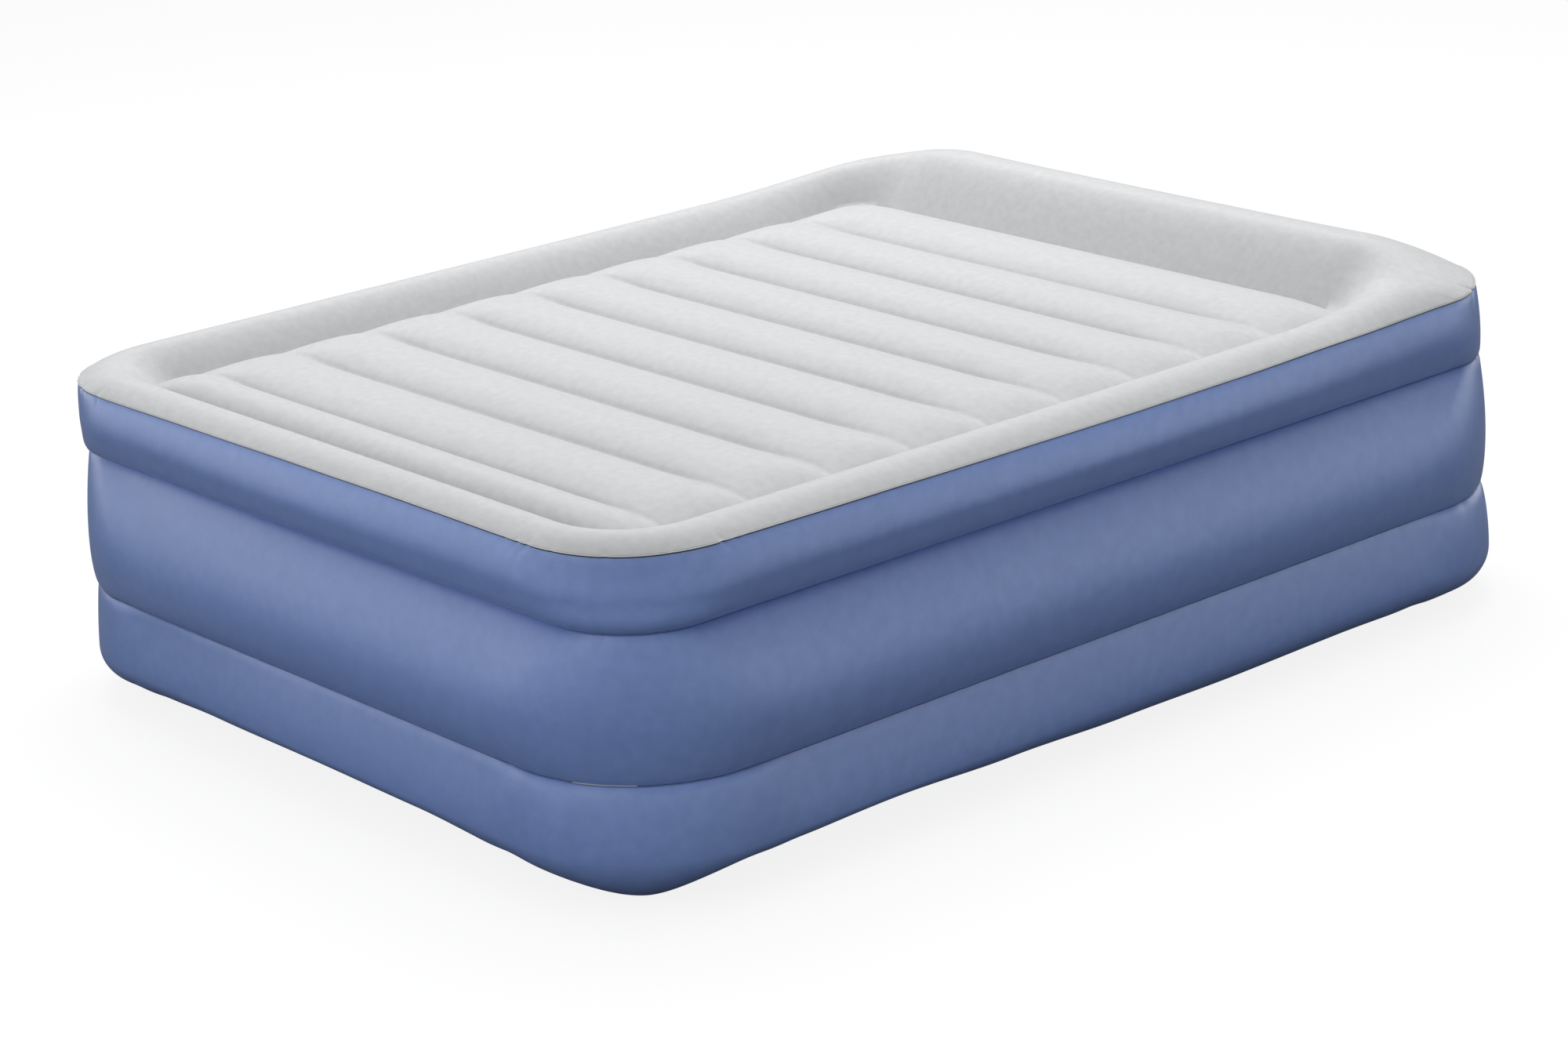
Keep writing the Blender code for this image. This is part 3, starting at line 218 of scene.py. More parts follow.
def fine_grain_group():
    group, start, end = new_group(
        "Fine grain",
        [("Scale", "NodeSocketFloat", 900.0), ("Softness", "NodeSocketFloat", 0.5)],
        [("Height", "NodeSocketFloat"), ("Mask", "NodeSocketFloat")])
    nodes, links = group.nodes, group.links
    place = nodes.new("ShaderNodeTexCoord")
    noise = nodes.new("ShaderNodeTexNoise")
    noise.inputs["Detail"].default_value = 3.0
    cells = nodes.new("ShaderNodeTexVoronoi")
    blend = nodes.new("ShaderNodeMix")
    links.new(place.outputs["Object"], noise.inputs["Vector"])
    links.new(place.outputs["Object"], cells.inputs["Vector"])
    links.new(start.outputs["Scale"], noise.inputs["Scale"])
    links.new(start.outputs["Scale"], cells.inputs["Scale"])
    links.new(start.outputs["Softness"], blend.inputs["Factor"])
    links.new(cells.outputs["Distance"], blend.inputs["A"])
    links.new(noise.outputs["Fac"], blend.inputs["B"])
    links.new(blend.outputs["Result"], end.inputs["Height"])
    links.new(noise.outputs["Fac"], end.inputs["Mask"])
    return group


def soft_mottle_group():
    group, start, end = new_group(
        "Soft mottle",
        [("Colour A", "NodeSocketColor", (1, 1, 1, 1)),
         ("Colour B", "NodeSocketColor", (1, 1, 1, 1)),
         ("Scale", "NodeSocketFloat", 6.0)],
        [("Colour", "NodeSocketColor")])
    nodes, links = group.nodes, group.links
    place = nodes.new("ShaderNodeTexCoord")
    noise = nodes.new("ShaderNodeTexNoise")
    noise.inputs["Detail"].default_value = 4.0
    ramp = nodes.new("ShaderNodeMapRange")
    ramp.inputs["From Min"].default_value = 0.32
    ramp.inputs["From Max"].default_value = 0.68
    mixer = nodes.new("ShaderNodeMix")
    mixer.data_type = "RGBA"
    links.new(place.outputs["Object"], noise.inputs["Vector"])
    links.new(start.outputs["Scale"], noise.inputs["Scale"])
    links.new(noise.outputs["Fac"], ramp.inputs["Value"])
    links.new(ramp.outputs["Result"], mixer.inputs["Factor"])
    links.new(start.outputs["Colour A"], mixer.inputs["A"])
    links.new(start.outputs["Colour B"], mixer.inputs["B"])
    links.new(mixer.outputs["Result"], end.inputs["Colour"])
    return group


FINE_GRAIN = fine_grain_group()
SOFT_MOTTLE = soft_mottle_group()
print("groups:", FINE_GRAIN.name, "and", SOFT_MOTTLE.name)

# %% [markdown]
# ## One recipe for every finish
# Each finish is a Principled shader whose colour comes from the mottle, and whose
# bump and small changes of roughness come from the grain. What differs is the pair
# of tones, the scale and depth of the grain, and how rough or metallic the surface
# is. Values that are the same all over go straight on the shader's own sockets.
# The flock alone has one thing more: a painted sheen and shade, its colour made darker where the
# pile is faced and lighter where it is seen at a glance.

# %% Make a finish
ROUGHNESS_SPREAD = 0.06        # how far the grain moves the roughness, each way
BUMP_STRENGTH = 0.6


def finish(name, tone_a, tone_b, roughness, grain_scale, grain_depth, mottle_scale=6.0,
           softness=0.5, metallic=0.0, extra=None):
    mat = bpy.data.materials.new(name)
    mat.use_nodes = True
    nodes, links = mat.node_tree.nodes, mat.node_tree.links
    shader = nodes["Principled BSDF"]
    shader.inputs["Metallic"].default_value = metallic
    for socket, value in (extra or {}).items():
        shader.inputs[socket].default_value = value
    tone = nodes.new("ShaderNodeGroup")
    tone.node_tree = SOFT_MOTTLE
    tone.inputs["Colour A"].default_value = (*tone_a, 1)
    tone.inputs["Colour B"].default_value = (*tone_b, 1)
    tone.inputs["Scale"].default_value = mottle_scale
    links.new(tone.outputs["Colour"], shader.inputs["Base Color"])
    grain = nodes.new("ShaderNodeGroup")
    grain.node_tree = FINE_GRAIN
    grain.inputs["Scale"].default_value = grain_scale
    grain.inputs["Softness"].default_value = softness
    rough = nodes.new("ShaderNodeMapRange")
    rough.inputs["To Min"].default_value = max(0.0, roughness - ROUGHNESS_SPREAD)
    rough.inputs["To Max"].default_value = min(1.0, roughness + ROUGHNESS_SPREAD)
    links.new(grain.outputs["Mask"], rough.inputs["Value"])
    links.new(rough.outputs["Result"], shader.inputs["Roughness"])
    bump = nodes.new("ShaderNodeBump")
    bump.inputs["Strength"].default_value = BUMP_STRENGTH
    bump.inputs["Distance"].default_value = grain_depth
    links.new(grain.outputs["Height"], bump.inputs["Height"])
    links.new(bump.outputs["Normal"], shader.inputs["Normal"])
    return mat


FLOCK = finish("flocked_grey", (0.645, 0.655, 0.665), (0.70, 0.71, 0.72), 0.92, 700.0, 0.0016,
               mottle_scale=70.0, softness=0.8,
               extra={"Sheen Weight": 0.45, "Sheen Roughness": 0.35, "Specular IOR Level": 0.25})
BLUE = finish("blue_film", (0.204, 0.320, 0.685), (0.225, 0.347, 0.735), 0.30, 1300.0, 0.0004,
              mottle_scale=45.0, softness=0.4, extra={"Specular IOR Level": 0.55})
WELD = finish("weld_line", (0.16, 0.22, 0.40), (0.20, 0.26, 0.44), 0.30, 700.0, 0.0003)
# A near-black finish, used only for the painted shadow under the rim weld.
PAINTED_SHADOW = finish("painted_rim_shadow", (0.030, 0.038, 0.060), (0.040, 0.050, 0.080), 0.60, 700.0, 0.0002)
PALE_WELD = finish("pale_weld", (0.52, 0.54, 0.56), (0.60, 0.61, 0.62), 0.55, 900.0, 0.0003)
INNER = finish("inner_film", (0.42, 0.45, 0.50), (0.47, 0.50, 0.54), 0.40, 600.0, 0.0002)


def paint_sheen_by_facing(mat, share, from_facing=0.05, to_facing=0.65):
    """Painted sheen and shade: pile seen end on shows its shaded depths, at a glance only its
    tips.
    """
    nodes, links = mat.node_tree.nodes, mat.node_tree.links
    shader = nodes["Principled BSDF"]
    colour = shader.inputs["Base Color"].links[0].from_socket
    view = nodes.new("ShaderNodeLayerWeight")
    amount = nodes.new("ShaderNodeMapRange")
    amount.inputs["From Min"].default_value = from_facing
    amount.inputs["From Max"].default_value = to_facing
    amount.inputs["To Min"].default_value = share
    amount.inputs["To Max"].default_value = 1.0
    shade = nodes.new("ShaderNodeVectorMath")
    shade.operation = "SCALE"
    links.new(view.outputs["Facing"], amount.inputs["Value"])
    links.new(colour, shade.inputs[0])
    links.new(amount.outputs["Result"], shade.inputs["Scale"])
    links.new(shade.outputs["Vector"], shader.inputs["Base Color"])


# The flock's colour gets painted sheen and shade from how squarely it is faced.
paint_sheen_by_facing(FLOCK, 0.64)
DARK = finish("dark_plastic", (0.030, 0.034, 0.042), (0.036, 0.040, 0.050), 0.48, 1500.0, 0.0002)
GREY = finish("grey_plastic", (0.235, 0.250, 0.275), (0.255, 0.270, 0.295), 0.46, 1500.0, 0.0002)
STEEL = finish("steel", (0.52, 0.52, 0.53), (0.60, 0.60, 0.61), 0.32, 800.0, 0.0001,
               metallic=1.0)
BRONZE = finish("bronze", (0.58, 0.40, 0.18), (0.64, 0.46, 0.22), 0.40, 900.0, 0.0001,
                metallic=1.0)
RUBBER = finish("seal_rubber", (0.022, 0.022, 0.024), (0.030, 0.030, 0.032), 0.75, 1300.0,
                0.0002)
print("finishes:", len(bpy.data.materials))

# %% [markdown]
# ## Puckers
# Film is welded flat and blown up round, so wherever a weld curves there is
# spare length along it, which gathers into little creases square to the weld.
# They are sharp at the weld and die out within a few centimetres. A pucker is
# a narrow dent at one station; a set of them, placed by a fixed seed, makes a
# field that is added to a wall as a displacement along its outward direction.

# %% Scatter puckers along a weld
RIM_HALF_X, RIM_FOOT, RIM_HEAD = TOP_HIGH.x, TOP_LOW.y, TOP_HIGH.y
RIM_RADIUS = 0.197
CORNER_FADE = (0.9, 1.6)       # a corner's share fades between these half lengths of it
RIM_XY = outline(RIM_HALF_X, RIM_FOOT, RIM_HEAD, RIM_RADIUS)
STEP = np.linalg.norm(np.roll(RIM_XY, -1, axis=0) - RIM_XY, axis=1)
ARC = np.concatenate([[0.0], np.cumsum(STEP)[:-1]])
PERIMETER = float(STEP.sum())


def corner_arcs(quarter):
    """Places along the rim of the stations round one corner."""
    return ARC[(QUARTER == quarter) & (ALONG < 0)]


def arc_distance(place):
    """How far each station is from a place, the shorter way round."""
    return np.abs((ARC - place + PERIMETER / 2) % PERIMETER - PERIMETER / 2)


def corner_share():
    """1 round each corner, fading into the straights."""
    share = np.zeros(len(ARC))
    for quarter in range(4):
        arcs = corner_arcs(quarter)
        middle, half = (arcs.min() + arcs.max()) / 2, (arcs.max() - arcs.min()) / 2
        fade = smoothstep(half * CORNER_FADE[0], half * CORNER_FADE[1], arc_distance(middle))
        share = np.maximum(share, 1 - fade)
    return share


CORNER_NESS = corner_share()


def pucker_field(seed, count, depth, width, corner_bias):
    """Depth of the dents at each station, on the weld itself."""
    rng = np.random.default_rng(seed)
    field = np.zeros(len(ARC))
    for _ in range(count):
        centre = rng.uniform(0, PERIMETER)
        nearest = int(np.argmin(np.abs(ARC - centre)))
        strength = rng.uniform(0.35, 1.0)
        keep = (1 - corner_bias) + corner_bias * CORNER_NESS[nearest]
        spread = width * rng.uniform(0.6, 1.5)
        field += depth * strength * keep * np.exp(-(arc_distance(centre) / spread) ** 2)
    return field


print("rim perimeter:", round(PERIMETER, 3))

# %% [markdown]
# ## Where the bed isn't regular
# A real bed doesn't fill evenly. The straight sides ride up off the floor while
# the corners sit low, the raised pillow pulls the rim up at the head corners,
# one foot corner is tucked in a little, and the rim is drawn in at one head corner
# and let out at one foot corner. Each of these is a value in metres, given at the
# corners and along the sides, in order round the bed, and smoothed between.

# %% Spread a few values round the bed


def around(corners, sides):
    """A smooth value at every station, from values at its corners and sides.

    Both start at the head's right corner and go anticlockwise, as seen from
    above. A corner has values at its start, middle and end, and a side has
    values evenly spaced between two corners.
    """
    knots, values = [], []
    for quarter in range(4):
        corner = corner_arcs(quarter)
        side = ARC[(QUARTER == quarter) & (ALONG > 0)]
        knots += list(np.linspace(corner.min(), corner.max(), 3))
        values += corners[quarter]
        count = len(sides[quarter])
        knots += list(np.linspace(side.min(), side.max(), count + 2)[1:-1])
        values += sides[quarter]
    knots = np.concatenate([np.array(knots) - PERIMETER, knots, np.array(knots) + PERIMETER])
    values = np.tile(values, 3)
    k = np.searchsorted(knots, ARC, side="right") - 1
    t = smoothstep(0, 1, (ARC - knots[k]) / (knots[k + 1] - knots[k]))
    return values[k] * (1 - t) + values[k + 1] * t


UNDER_LIFT = around(([0.014, 0.004, 0.018], [0.018, 0.016, 0.018], [0.018, 0.014, 0.024],
                     [0.022, 0.001, 0.038]),
                    ([0.024, 0.028, 0.024], [0.024, 0.028, 0.024], [0.040, 0.046, 0.042],
                     [0.048, 0.034, 0.023, 0.018, 0.020]))
RIM_LIFT = around(([0.010, 0.013, 0.010], [0.010, 0.012, 0.006], [0.0, -0.001, 0.0],
                   [0.004, 0.002, 0.004]),
                  ([0.006, 0.005, 0.006], [0.001, 0.0, 0.0], [0.002, 0.004, 0.005],
                   [0.002, 0.0, -0.001, 0.0, 0.004]))
TUCK = around(([0.0, 0.0, 0.0], [0.0, 0.0, 0.0], [0.006, 0.010, 0.008], [0.0, 0.0, 0.0]),
              ([0.0], [0.0], [0.0], [0.0]))
RIM_PULL = around(([0.003, 0.010, 0.003], [0.0] * 3, [0.0, -0.007, 0.0], [0.0] * 3),
                  ([0.0], [0.0], [0.0], [0.0]))
print("lift of the under edge:", round(UNDER_LIFT.min(), 4), "to", round(UNDER_LIFT.max(), 4))

# %% [markdown]
# ## A swollen side tier
# Between two welds the film takes the arc that even pressure gives. Its section
# is written once, as the height t along the tier against how far the wall stands
# out, and the corners round themselves as it swells. Where the bed departs from
# the even arc, a second profile is blended in station by station. Rows crowd
# towards the welds, where the wall turns in sharply to meet its neighbour.

# %% Describe the weld outlines and a tier's wall
UPPER_GIRTH = (UPPER_DECK.x + DECK_MARGIN, UPPER_DECK.y + DECK_MARGIN, 0.128)
LOWER_GIRTH = (LOWER_DECK.x + DECK_MARGIN, LOWER_DECK.y + DECK_MARGIN, 0.225)
RIM = (RIM_HALF_X, RIM_HEAD, RIM_RADIUS)
CORNER_GAIN = 2.33             # corners round this much faster than the sides swell
PINCH = 0.0015                 # the wall tucks in this much right at a weld
PINCH_REACH = 0.006
PUCKER_REACH = 0.022           # a pucker dies out over this height of wall
SWELL_POWER = 0.92             # a little fuller than a parabola


def swell_shape(t, skew):
    """How far out the film stands between two welds, from 0 to 1.

    A skew below 1 moves the widest line down from the middle.
    """
    level = t ** skew
    return (4 * level * (1 - level)) ** SWELL_POWER


def shoulder_shape(t, widest):
    """A wall that slopes out from its upper weld, then drops and tucks in sharply."""
    above = 1 - np.clip((t - widest) / (1 - widest), 0, 1) ** 1.5
    below = 1 - np.clip(1 - t / widest, 0, 1) ** 5
    return np.where(t > widest, above, below)


def tier_rows(top, bottom, z_top, z_bottom, bulge, head_bulge, shapes, levels, puckers, extra,
              lift, pull):
    """Rows of points of one tier, from its lower to its upper weld.

    Shapes is a profile for the straight sides, and its share at each station; the
    rest is the even one. Extra is added to the swell, and lift raises the upper weld
    while pull draws it in.
    """
    rows = []
    height = z_top - z_bottom
    shape, blend = shapes
    for k in range(levels + 1):
        t = crowded(k, levels, 0.65)
        swell = swell_shape(t, 1.0)
        local = bulge * (shape(t) - swell) * blend
        half_x = bottom[0] + (top[0] - bottom[0]) * t + bulge * swell
        foot = -(bottom[1] + (top[1] - bottom[1]) * t) - bulge * swell
        head = bottom[1] + (top[1] - bottom[1]) * t + head_bulge * swell
        radius = bottom[2] + (top[2] - bottom[2]) * t + CORNER_GAIN * bulge * swell
        near_top, near_low = (1 - t) * height, t * height
        xy = outline(half_x, foot, head, radius)
        dent = (puckers[0] * math.exp(-near_low / PUCKER_REACH)
                + puckers[1] * math.exp(-near_top / PUCKER_REACH))
        dent = dent + PINCH * (math.exp(-(near_low / PINCH_REACH) ** 2)
                               + math.exp(-(near_top / PINCH_REACH) ** 2))
        xy = xy + OUTWARD * (extra * swell + local - dent - pull * t ** 2)[:, None]
        rows.append(np.column_stack([xy, z_bottom + height * t + lift * t ** 2]))
    return np.array(rows)


def add_band(name, rows, node):
    """A closed strip of film, its rows running from bottom to top."""
    levels, columns = rows.shape[:2]
    piece = add_piece(name, rows.reshape(-1, 3), grid_faces(levels, columns, True), BLUE)
    give_thickness(piece)
    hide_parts(node)
    print(name, "faces:", len(piece.data.polygons))
    return piece


print("half widths at the girths:", round(UPPER_GIRTH[0], 3), round(LOWER_GIRTH[0], 3))

# %% [markdown]
# ## The upper and middle tiers
# The upper tier is short and the middle one tall. On the head wall the pump's
# frame holds the middle tier flatter, as it does on the working model, so that
# the frame sits on the wall.

# %% Build the upper and middle tiers
WELD_HALF = 0.0001             # half the gap between two tiers at a girth weld
UPPER_SWELL_LIMIT = 0.024
UPPER_FULLNESS = 0.008         # the shouldered wall stands out by this much more
UPPER_WIDEST = 0.45            # height of its widest line, as a share of the tier
UPPER_BULGE = min(UPPER_HIGH.x - (RIM[0] + UPPER_GIRTH[0]) / 2, UPPER_SWELL_LIMIT)
UPPER_BULGE = UPPER_BULGE + UPPER_FULLNESS
SHOULDERED = around(([0.5, 0.0, 0.4], [0.5, 0.2, 0.5], [0.6, 0.1, 0.7], [0.9, 0.6, 0.9]),
                    ([0.8], [0.8], [1.0], [1.0, 1.0, 0.9]))
UPPER_EXTRA = around(([-0.009, -0.012, -0.009], [-0.008] * 3, [-0.006, -0.008, -0.004],
                      [-0.004, -0.006, -0.004]), ([-0.004], [-0.003], [0.0], [0.0]))
STRAIGHTS = 1 - 0.6 * CORNER_NESS   # full on the straights, less round the corners
LEVEL = np.zeros(len(ARC))
MIDDLE_SKEW = 0.8              # the middle tier hangs: its widest line is below half
MIDDLE_BULGE = MIDDLE_HIGH.x - (UPPER_GIRTH[0] + LOWER_GIRTH[0]) / 2 - FILM
HEAD_BULGE = 0.010             # the flatter swell of the head wall at the pump
HEAD_FLAT = (0.16, 0.46)       # its swell grows to full between these from the pump
TUCK_SHARE = 0.6               # the middle tier takes this much of the tucked corner
PUCKER = {
    "rim": pucker_field(3, 170, 0.0022, 0.0045, 0.90),
    "upper": pucker_field(5, 180, 0.0010, 0.0070, 0.55),
    "lower": pucker_field(7, 180, 0.0012, 0.0070, 0.55),
}
COLLAR_LOW, COLLAR_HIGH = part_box("pump_collar")
FROM_PUMP = np.abs(RIM_XY[:, 0] - (COLLAR_LOW[0] + COLLAR_HIGH[0]) / 2)
HEAD_EXTRA = (MIDDLE_BULGE - HEAD_BULGE) * smoothstep(*HEAD_FLAT, FROM_PUMP)
HEAD_EXTRA = HEAD_EXTRA * np.clip(OUTWARD[:, 1], 0, 1) ** 2
upper_rows = tier_rows(RIM, UPPER_GIRTH, RIM_Z, UPPER_GIRTH_Z + WELD_HALF, UPPER_BULGE,
                       UPPER_BULGE, (lambda t: shoulder_shape(t, UPPER_WIDEST), SHOULDERED), 26,
                       (PUCKER["upper"], PUCKER["rim"]), UPPER_EXTRA, RIM_LIFT, RIM_PULL)
middle_rows = tier_rows(UPPER_GIRTH, LOWER_GIRTH, UPPER_GIRTH_Z - WELD_HALF,
                        LOWER_GIRTH_Z + WELD_HALF, MIDDLE_BULGE, HEAD_BULGE,
                        (lambda t: swell_shape(t, MIDDLE_SKEW), STRAIGHTS), 34,
                        (PUCKER["lower"], PUCKER["upper"]), HEAD_EXTRA - TUCK_SHARE * TUCK,
                        LEVEL, LEVEL)
add_band("upper_tier", upper_rows, "upper_side_band")
middle_tier = add_band("middle_tier", middle_rows, "middle_side_band")

# %% [markdown]
# The pump needs its hole in the wall. A Boolean with a rounded block does it,
# as a knife along a template would, and its result is kept as the tier's mesh.

# %% Cut the pump's hole
HOUSING_LOW, HOUSING_HIGH = box("pump_housing")
HOLE_MARGIN = 0.004            # room round the pump's tub
HOLE_RADIUS = 0.016
KNIFE_REACH = 0.06             # the knife runs this far past the wall, both ways


def rounded_prism(name, low, high, radius, steps=8):
    """A block with rounded corners in XZ."""
    bm = bmesh.new()
    ring = []
    corners = ((high.x - radius, high.z - radius), (low.x + radius, high.z - radius),
               (low.x + radius, low.z + radius), (high.x - radius, low.z + radius))
    for quarter, (x, z) in enumerate(corners):
        for step in range(steps + 1):
            angle = math.pi / 2 * (quarter + step / steps)
            ring.append((x + radius * math.cos(angle), z + radius * math.sin(angle)))
    front = [bm.verts.new((x, high.y, z)) for x, z in ring]
    back = [bm.verts.new((x, low.y, z)) for x, z in ring]
    bm.faces.new(front)
    bm.faces.new(list(reversed(back)))
    for i in range(len(ring)):
        j = (i + 1) % len(ring)
        bm.faces.new((front[i], back[i], back[j], front[j]))
    bmesh.ops.recalc_face_normals(bm, faces=bm.faces)
    mesh = bpy.data.meshes.new(name)
    bm.to_mesh(mesh)
    bm.free()
    block = bpy.data.objects.new(name, mesh)
    bpy.context.collection.objects.link(block)
    return block


knife = rounded_prism("pump_knife",
                      Vector((HOUSING_LOW.x - HOLE_MARGIN, COLLAR_LOW[1] - KNIFE_REACH,
                              HOUSING_LOW.z - HOLE_MARGIN)),
                      Vector((HOUSING_HIGH.x + HOLE_MARGIN, COLLAR_HIGH[1] + KNIFE_REACH,
                              HOUSING_HIGH.z + HOLE_MARGIN)), HOLE_RADIUS)
cut = middle_tier.modifiers.new("pump_hole", "BOOLEAN")
cut.operation = "DIFFERENCE"
cut.object = knife
bpy.context.view_layer.update()
held = middle_tier.evaluated_get(bpy.context.evaluated_depsgraph_get())
whole = bpy.data.meshes.new_from_object(held)
middle_tier.modifiers.clear()
middle_tier.data = whole
bpy.data.objects.remove(knife, do_unlink=True)
print("middle tier faces after the cut:", len(middle_tier.data.polygons))

# %% [markdown]
# ## The lower tier
# The lowest tier swells out, and then rounds under to the floor. It meets the
# base inside the swell, and its corners sag a little lower than the straight
# sides. Small kinks mark where each straight side passes into a corner.

# %% Build the lower tier
FLOOR_OUTLINE = (FLOOR_HIGH.x, FLOOR_HIGH.y, 0.135)
BELLY_SHARE = 0.43             # height of the widest line, as a share of the tier
BELLY_RADIUS = 0.245
GIRTH_ROUNDING = 0.020         # a corner's radius grows by this from the weld outwards
CONTACT_Z = FLOOR_HIGH.z + FILM
KINK_SPREAD = 0.10             # a kink lies within this distance of a corner's end


def kinks(seed, count, depth, width):
    """Soft dents in the under edge, near the ends of the straight sides."""
    rng = np.random.default_rng(seed)
    field = np.zeros(len(ARC))
    for quarter in range(4):
        arcs = corner_arcs(quarter)
        for end in (arcs.min(), arcs.max()):
            for _ in range(count):
                away = arc_distance(end + rng.uniform(-KINK_SPREAD, KINK_SPREAD))
                field += depth * rng.uniform(0.4, 1.0) * np.exp(-(away / width) ** 2)
    return field


def lower_tier_rows(levels_out=14, levels_under=22):
    """Rows from the base's edge, round the belly and up to the lower girth weld."""
    rows = []
    top = LOWER_GIRTH_Z - WELD_HALF
    belly = BELLY_SHARE * top
    swell_out = LOWER_HIGH.x - LOWER_GIRTH[0]
    kink = kinks(11, 2, 0.004, 0.035)
    fall = FLOOR_OUTLINE[0] - LOWER_HIGH.x
    for k in range(levels_under, -1, -1):
        angle = math.pi / 2 * k / levels_under
        inset = 1 - math.cos(angle)
        half_x = LOWER_HIGH.x + fall * inset
        half_y = LOWER_HIGH.y + (FLOOR_OUTLINE[1] - LOWER_HIGH.y) * inset
        radius = BELLY_RADIUS + (FLOOR_OUTLINE[2] - BELLY_RADIUS) * inset
        xy = outline(half_x, -half_y, half_y, radius)
        xy = xy - OUTWARD * (TUCK * (1 - inset))[:, None]
        depth = math.sin(angle)
        ground = CONTACT_Z + UNDER_LIFT + kink * (1 - inset ** 6)
        rows.append(np.column_stack([xy, belly + (ground - belly) * depth]))
    for k in range(1, levels_out + 1):
        angle = math.pi / 2 * k / levels_out
        out = math.cos(angle) ** 0.9 if k < levels_out else 0.0
        cone = (1 - math.sin(angle) ** 1.5 - out) * swell_out * STRAIGHTS
        half_x = LOWER_GIRTH[0] + swell_out * out
        half_y = LOWER_GIRTH[1] + (LOWER_HIGH.y - LOWER_GIRTH[1]) * out
        radius = LOWER_GIRTH[2] + GIRTH_ROUNDING * out
        z = belly + (top - belly) * math.sin(angle)
        dent = PUCKER["lower"] * math.exp(-(top - z) / PUCKER_REACH)
        dent = dent + PINCH * math.exp(-((top - z) / PINCH_REACH) ** 2)
        xy = outline(half_x, -half_y, half_y, radius)
        xy = xy + OUTWARD * (cone - dent - TUCK * out)[:, None]
        rows.append(np.column_stack([xy, np.full(len(xy), z)]))
    return np.array(rows)


add_band("lower_tier", lower_tier_rows(), "lower_side_band")

# %% [markdown]
# ## The sleeping surface
# The top has three regions that one height function describes. From the rim
# the bolster rises to its crest and falls to a crease; at the head the same
# bolster climbs into the pillow; and inside the crease lie the cross channels,
# each an arch between two welded grooves. A groove is deepest in the middle and
# grows shallower all the way to the bolster, where the channels run into one.

# %% Describe the height of the top
BED_HALF_WIDTH, BED_FOOT_Y, BED_HEAD_Y, BED_RADIUS = 0.600, -0.865, 0.700, 0.080
CREASE_DROP = 0.028
BOLSTER_RISE, PILLOW_RISE = 0.020, TOP_HIGH.z - RIM_Z
BOLSTER_CREST, PILLOW_CREST = 0.45, 0.62   # crest between rim (0) and crease (1)
CHANNEL_RISE, GROOVE_DEPTH = 0.006, 0.026
CROWN_MARGIN = 0.204           # a channel falls to the side crease over this width
CROWN_POWER = 4.0              # and how suddenly
GROOVE_MARGIN, GROOVE_FADE = 0.200, 0.004   # a groove fades out between these from it
GROOVE_COUNT = sum(1 for node in frame["nodes"] if node.startswith("cross_beam_"))
GROOVES = [(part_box(f"cross_beam_{i}")[0][1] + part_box(f"cross_beam_{i}")[1][1]) / 2
           for i in range(1, GROOVE_COUNT + 1)]
LINES = [BED_FOOT_Y] + GROOVES + [BED_HEAD_Y]
PILLOW_RAMP = (0.42, 0.84)     # the perimeter climbs to the pillow between these Y
SHOULDER_IN, SHOULDER_OUT = 0.132, 0.090   # the pillow slopes down to the side from
SHOULDER_DROP = 0.45           # inside to outside the bed's edge, by this share
CLIMB_POWER, FALL_POWER = 1.4, 1.8         # bends of the climb, and of the inner slope
FADE_POWER, ARCH_POWER = 1.6, 0.62         # and of a groove's fade and a channel's arch


def climb(y):
    """How much of the way from bolster (0) to pillow (1) the perimeter is at Y."""
    return smoothstep(*PILLOW_RAMP, y) ** CLIMB_POWER


def crest_rise(x, y):
    """Height of the bolster's crest above the rim."""
    shoulder = 1 - SHOULDER_DROP * smoothstep(BED_HALF_WIDTH - SHOULDER_IN,
                                              BED_HALF_WIDTH + SHOULDER_OUT, np.abs(x))
    return BOLSTER_RISE + (PILLOW_RISE * shoulder - BOLSTER_RISE) * climb(y)


def bolster_height(share, x, y):
    """Height above the rim, a share of the way from rim (0) to crease (1)."""
    rise = crest_rise(x, y)
    crest = BOLSTER_CREST + (PILLOW_CREST - BOLSTER_CREST) * climb(y)
    outer = rise * (1 - ((crest - share) / crest) ** 2)
    fall = np.clip((share - crest) / (1 - crest), 0, 1)
    inner = rise - (rise + CREASE_DROP) * fall ** FALL_POWER
    return np.where(share < crest, outer, inner)


def crown_height(x):
    """Height above the rim of the channels' tops, falling to the side crease."""
    reach = np.clip((np.abs(x) - BED_HALF_WIDTH + CROWN_MARGIN) / CROWN_MARGIN, 0, 1)
    return -CREASE_DROP + (CHANNEL_RISE + CREASE_DROP) * (1 - reach ** CROWN_POWER)


def groove_drop(x):
    """How far a groove lies below the channels' tops."""
    reach = np.clip((np.abs(x) - BED_HALF_WIDTH + GROOVE_MARGIN)
                    / (GROOVE_MARGIN - GROOVE_FADE), 0, 1)
    return GROOVE_DEPTH * (1 - reach ** FADE_POWER)


def bed_height(x, y, low, high):
    """Height above the rim of the channels, between two lines."""
    s = (y - low) / (high - low)
    arch = (4 * s * (1 - s)) ** ARCH_POWER
    to_crease = crown_height(x) + CREASE_DROP
    drop_low = to_crease if low == BED_FOOT_Y else groove_drop(x)
    drop_high = to_crease if high == BED_HEAD_Y else groove_drop(x)
    return crown_height(x) - (1 - arch) * (drop_low + (drop_high - drop_low) * s)


print("grooves at Y:", [round(y, 3) for y in GROOVES])

# %% [markdown]
# The top is meshed in two parts that meet at the crease. Loops of the station
# outline carry the bolster in from the rim; straight rows carry the channels.
# Because the two have different numbers of points, a zipper of triangles closes
# the narrow strip between them, along the bottom of the crease, where shading
# changes sharply anyway.

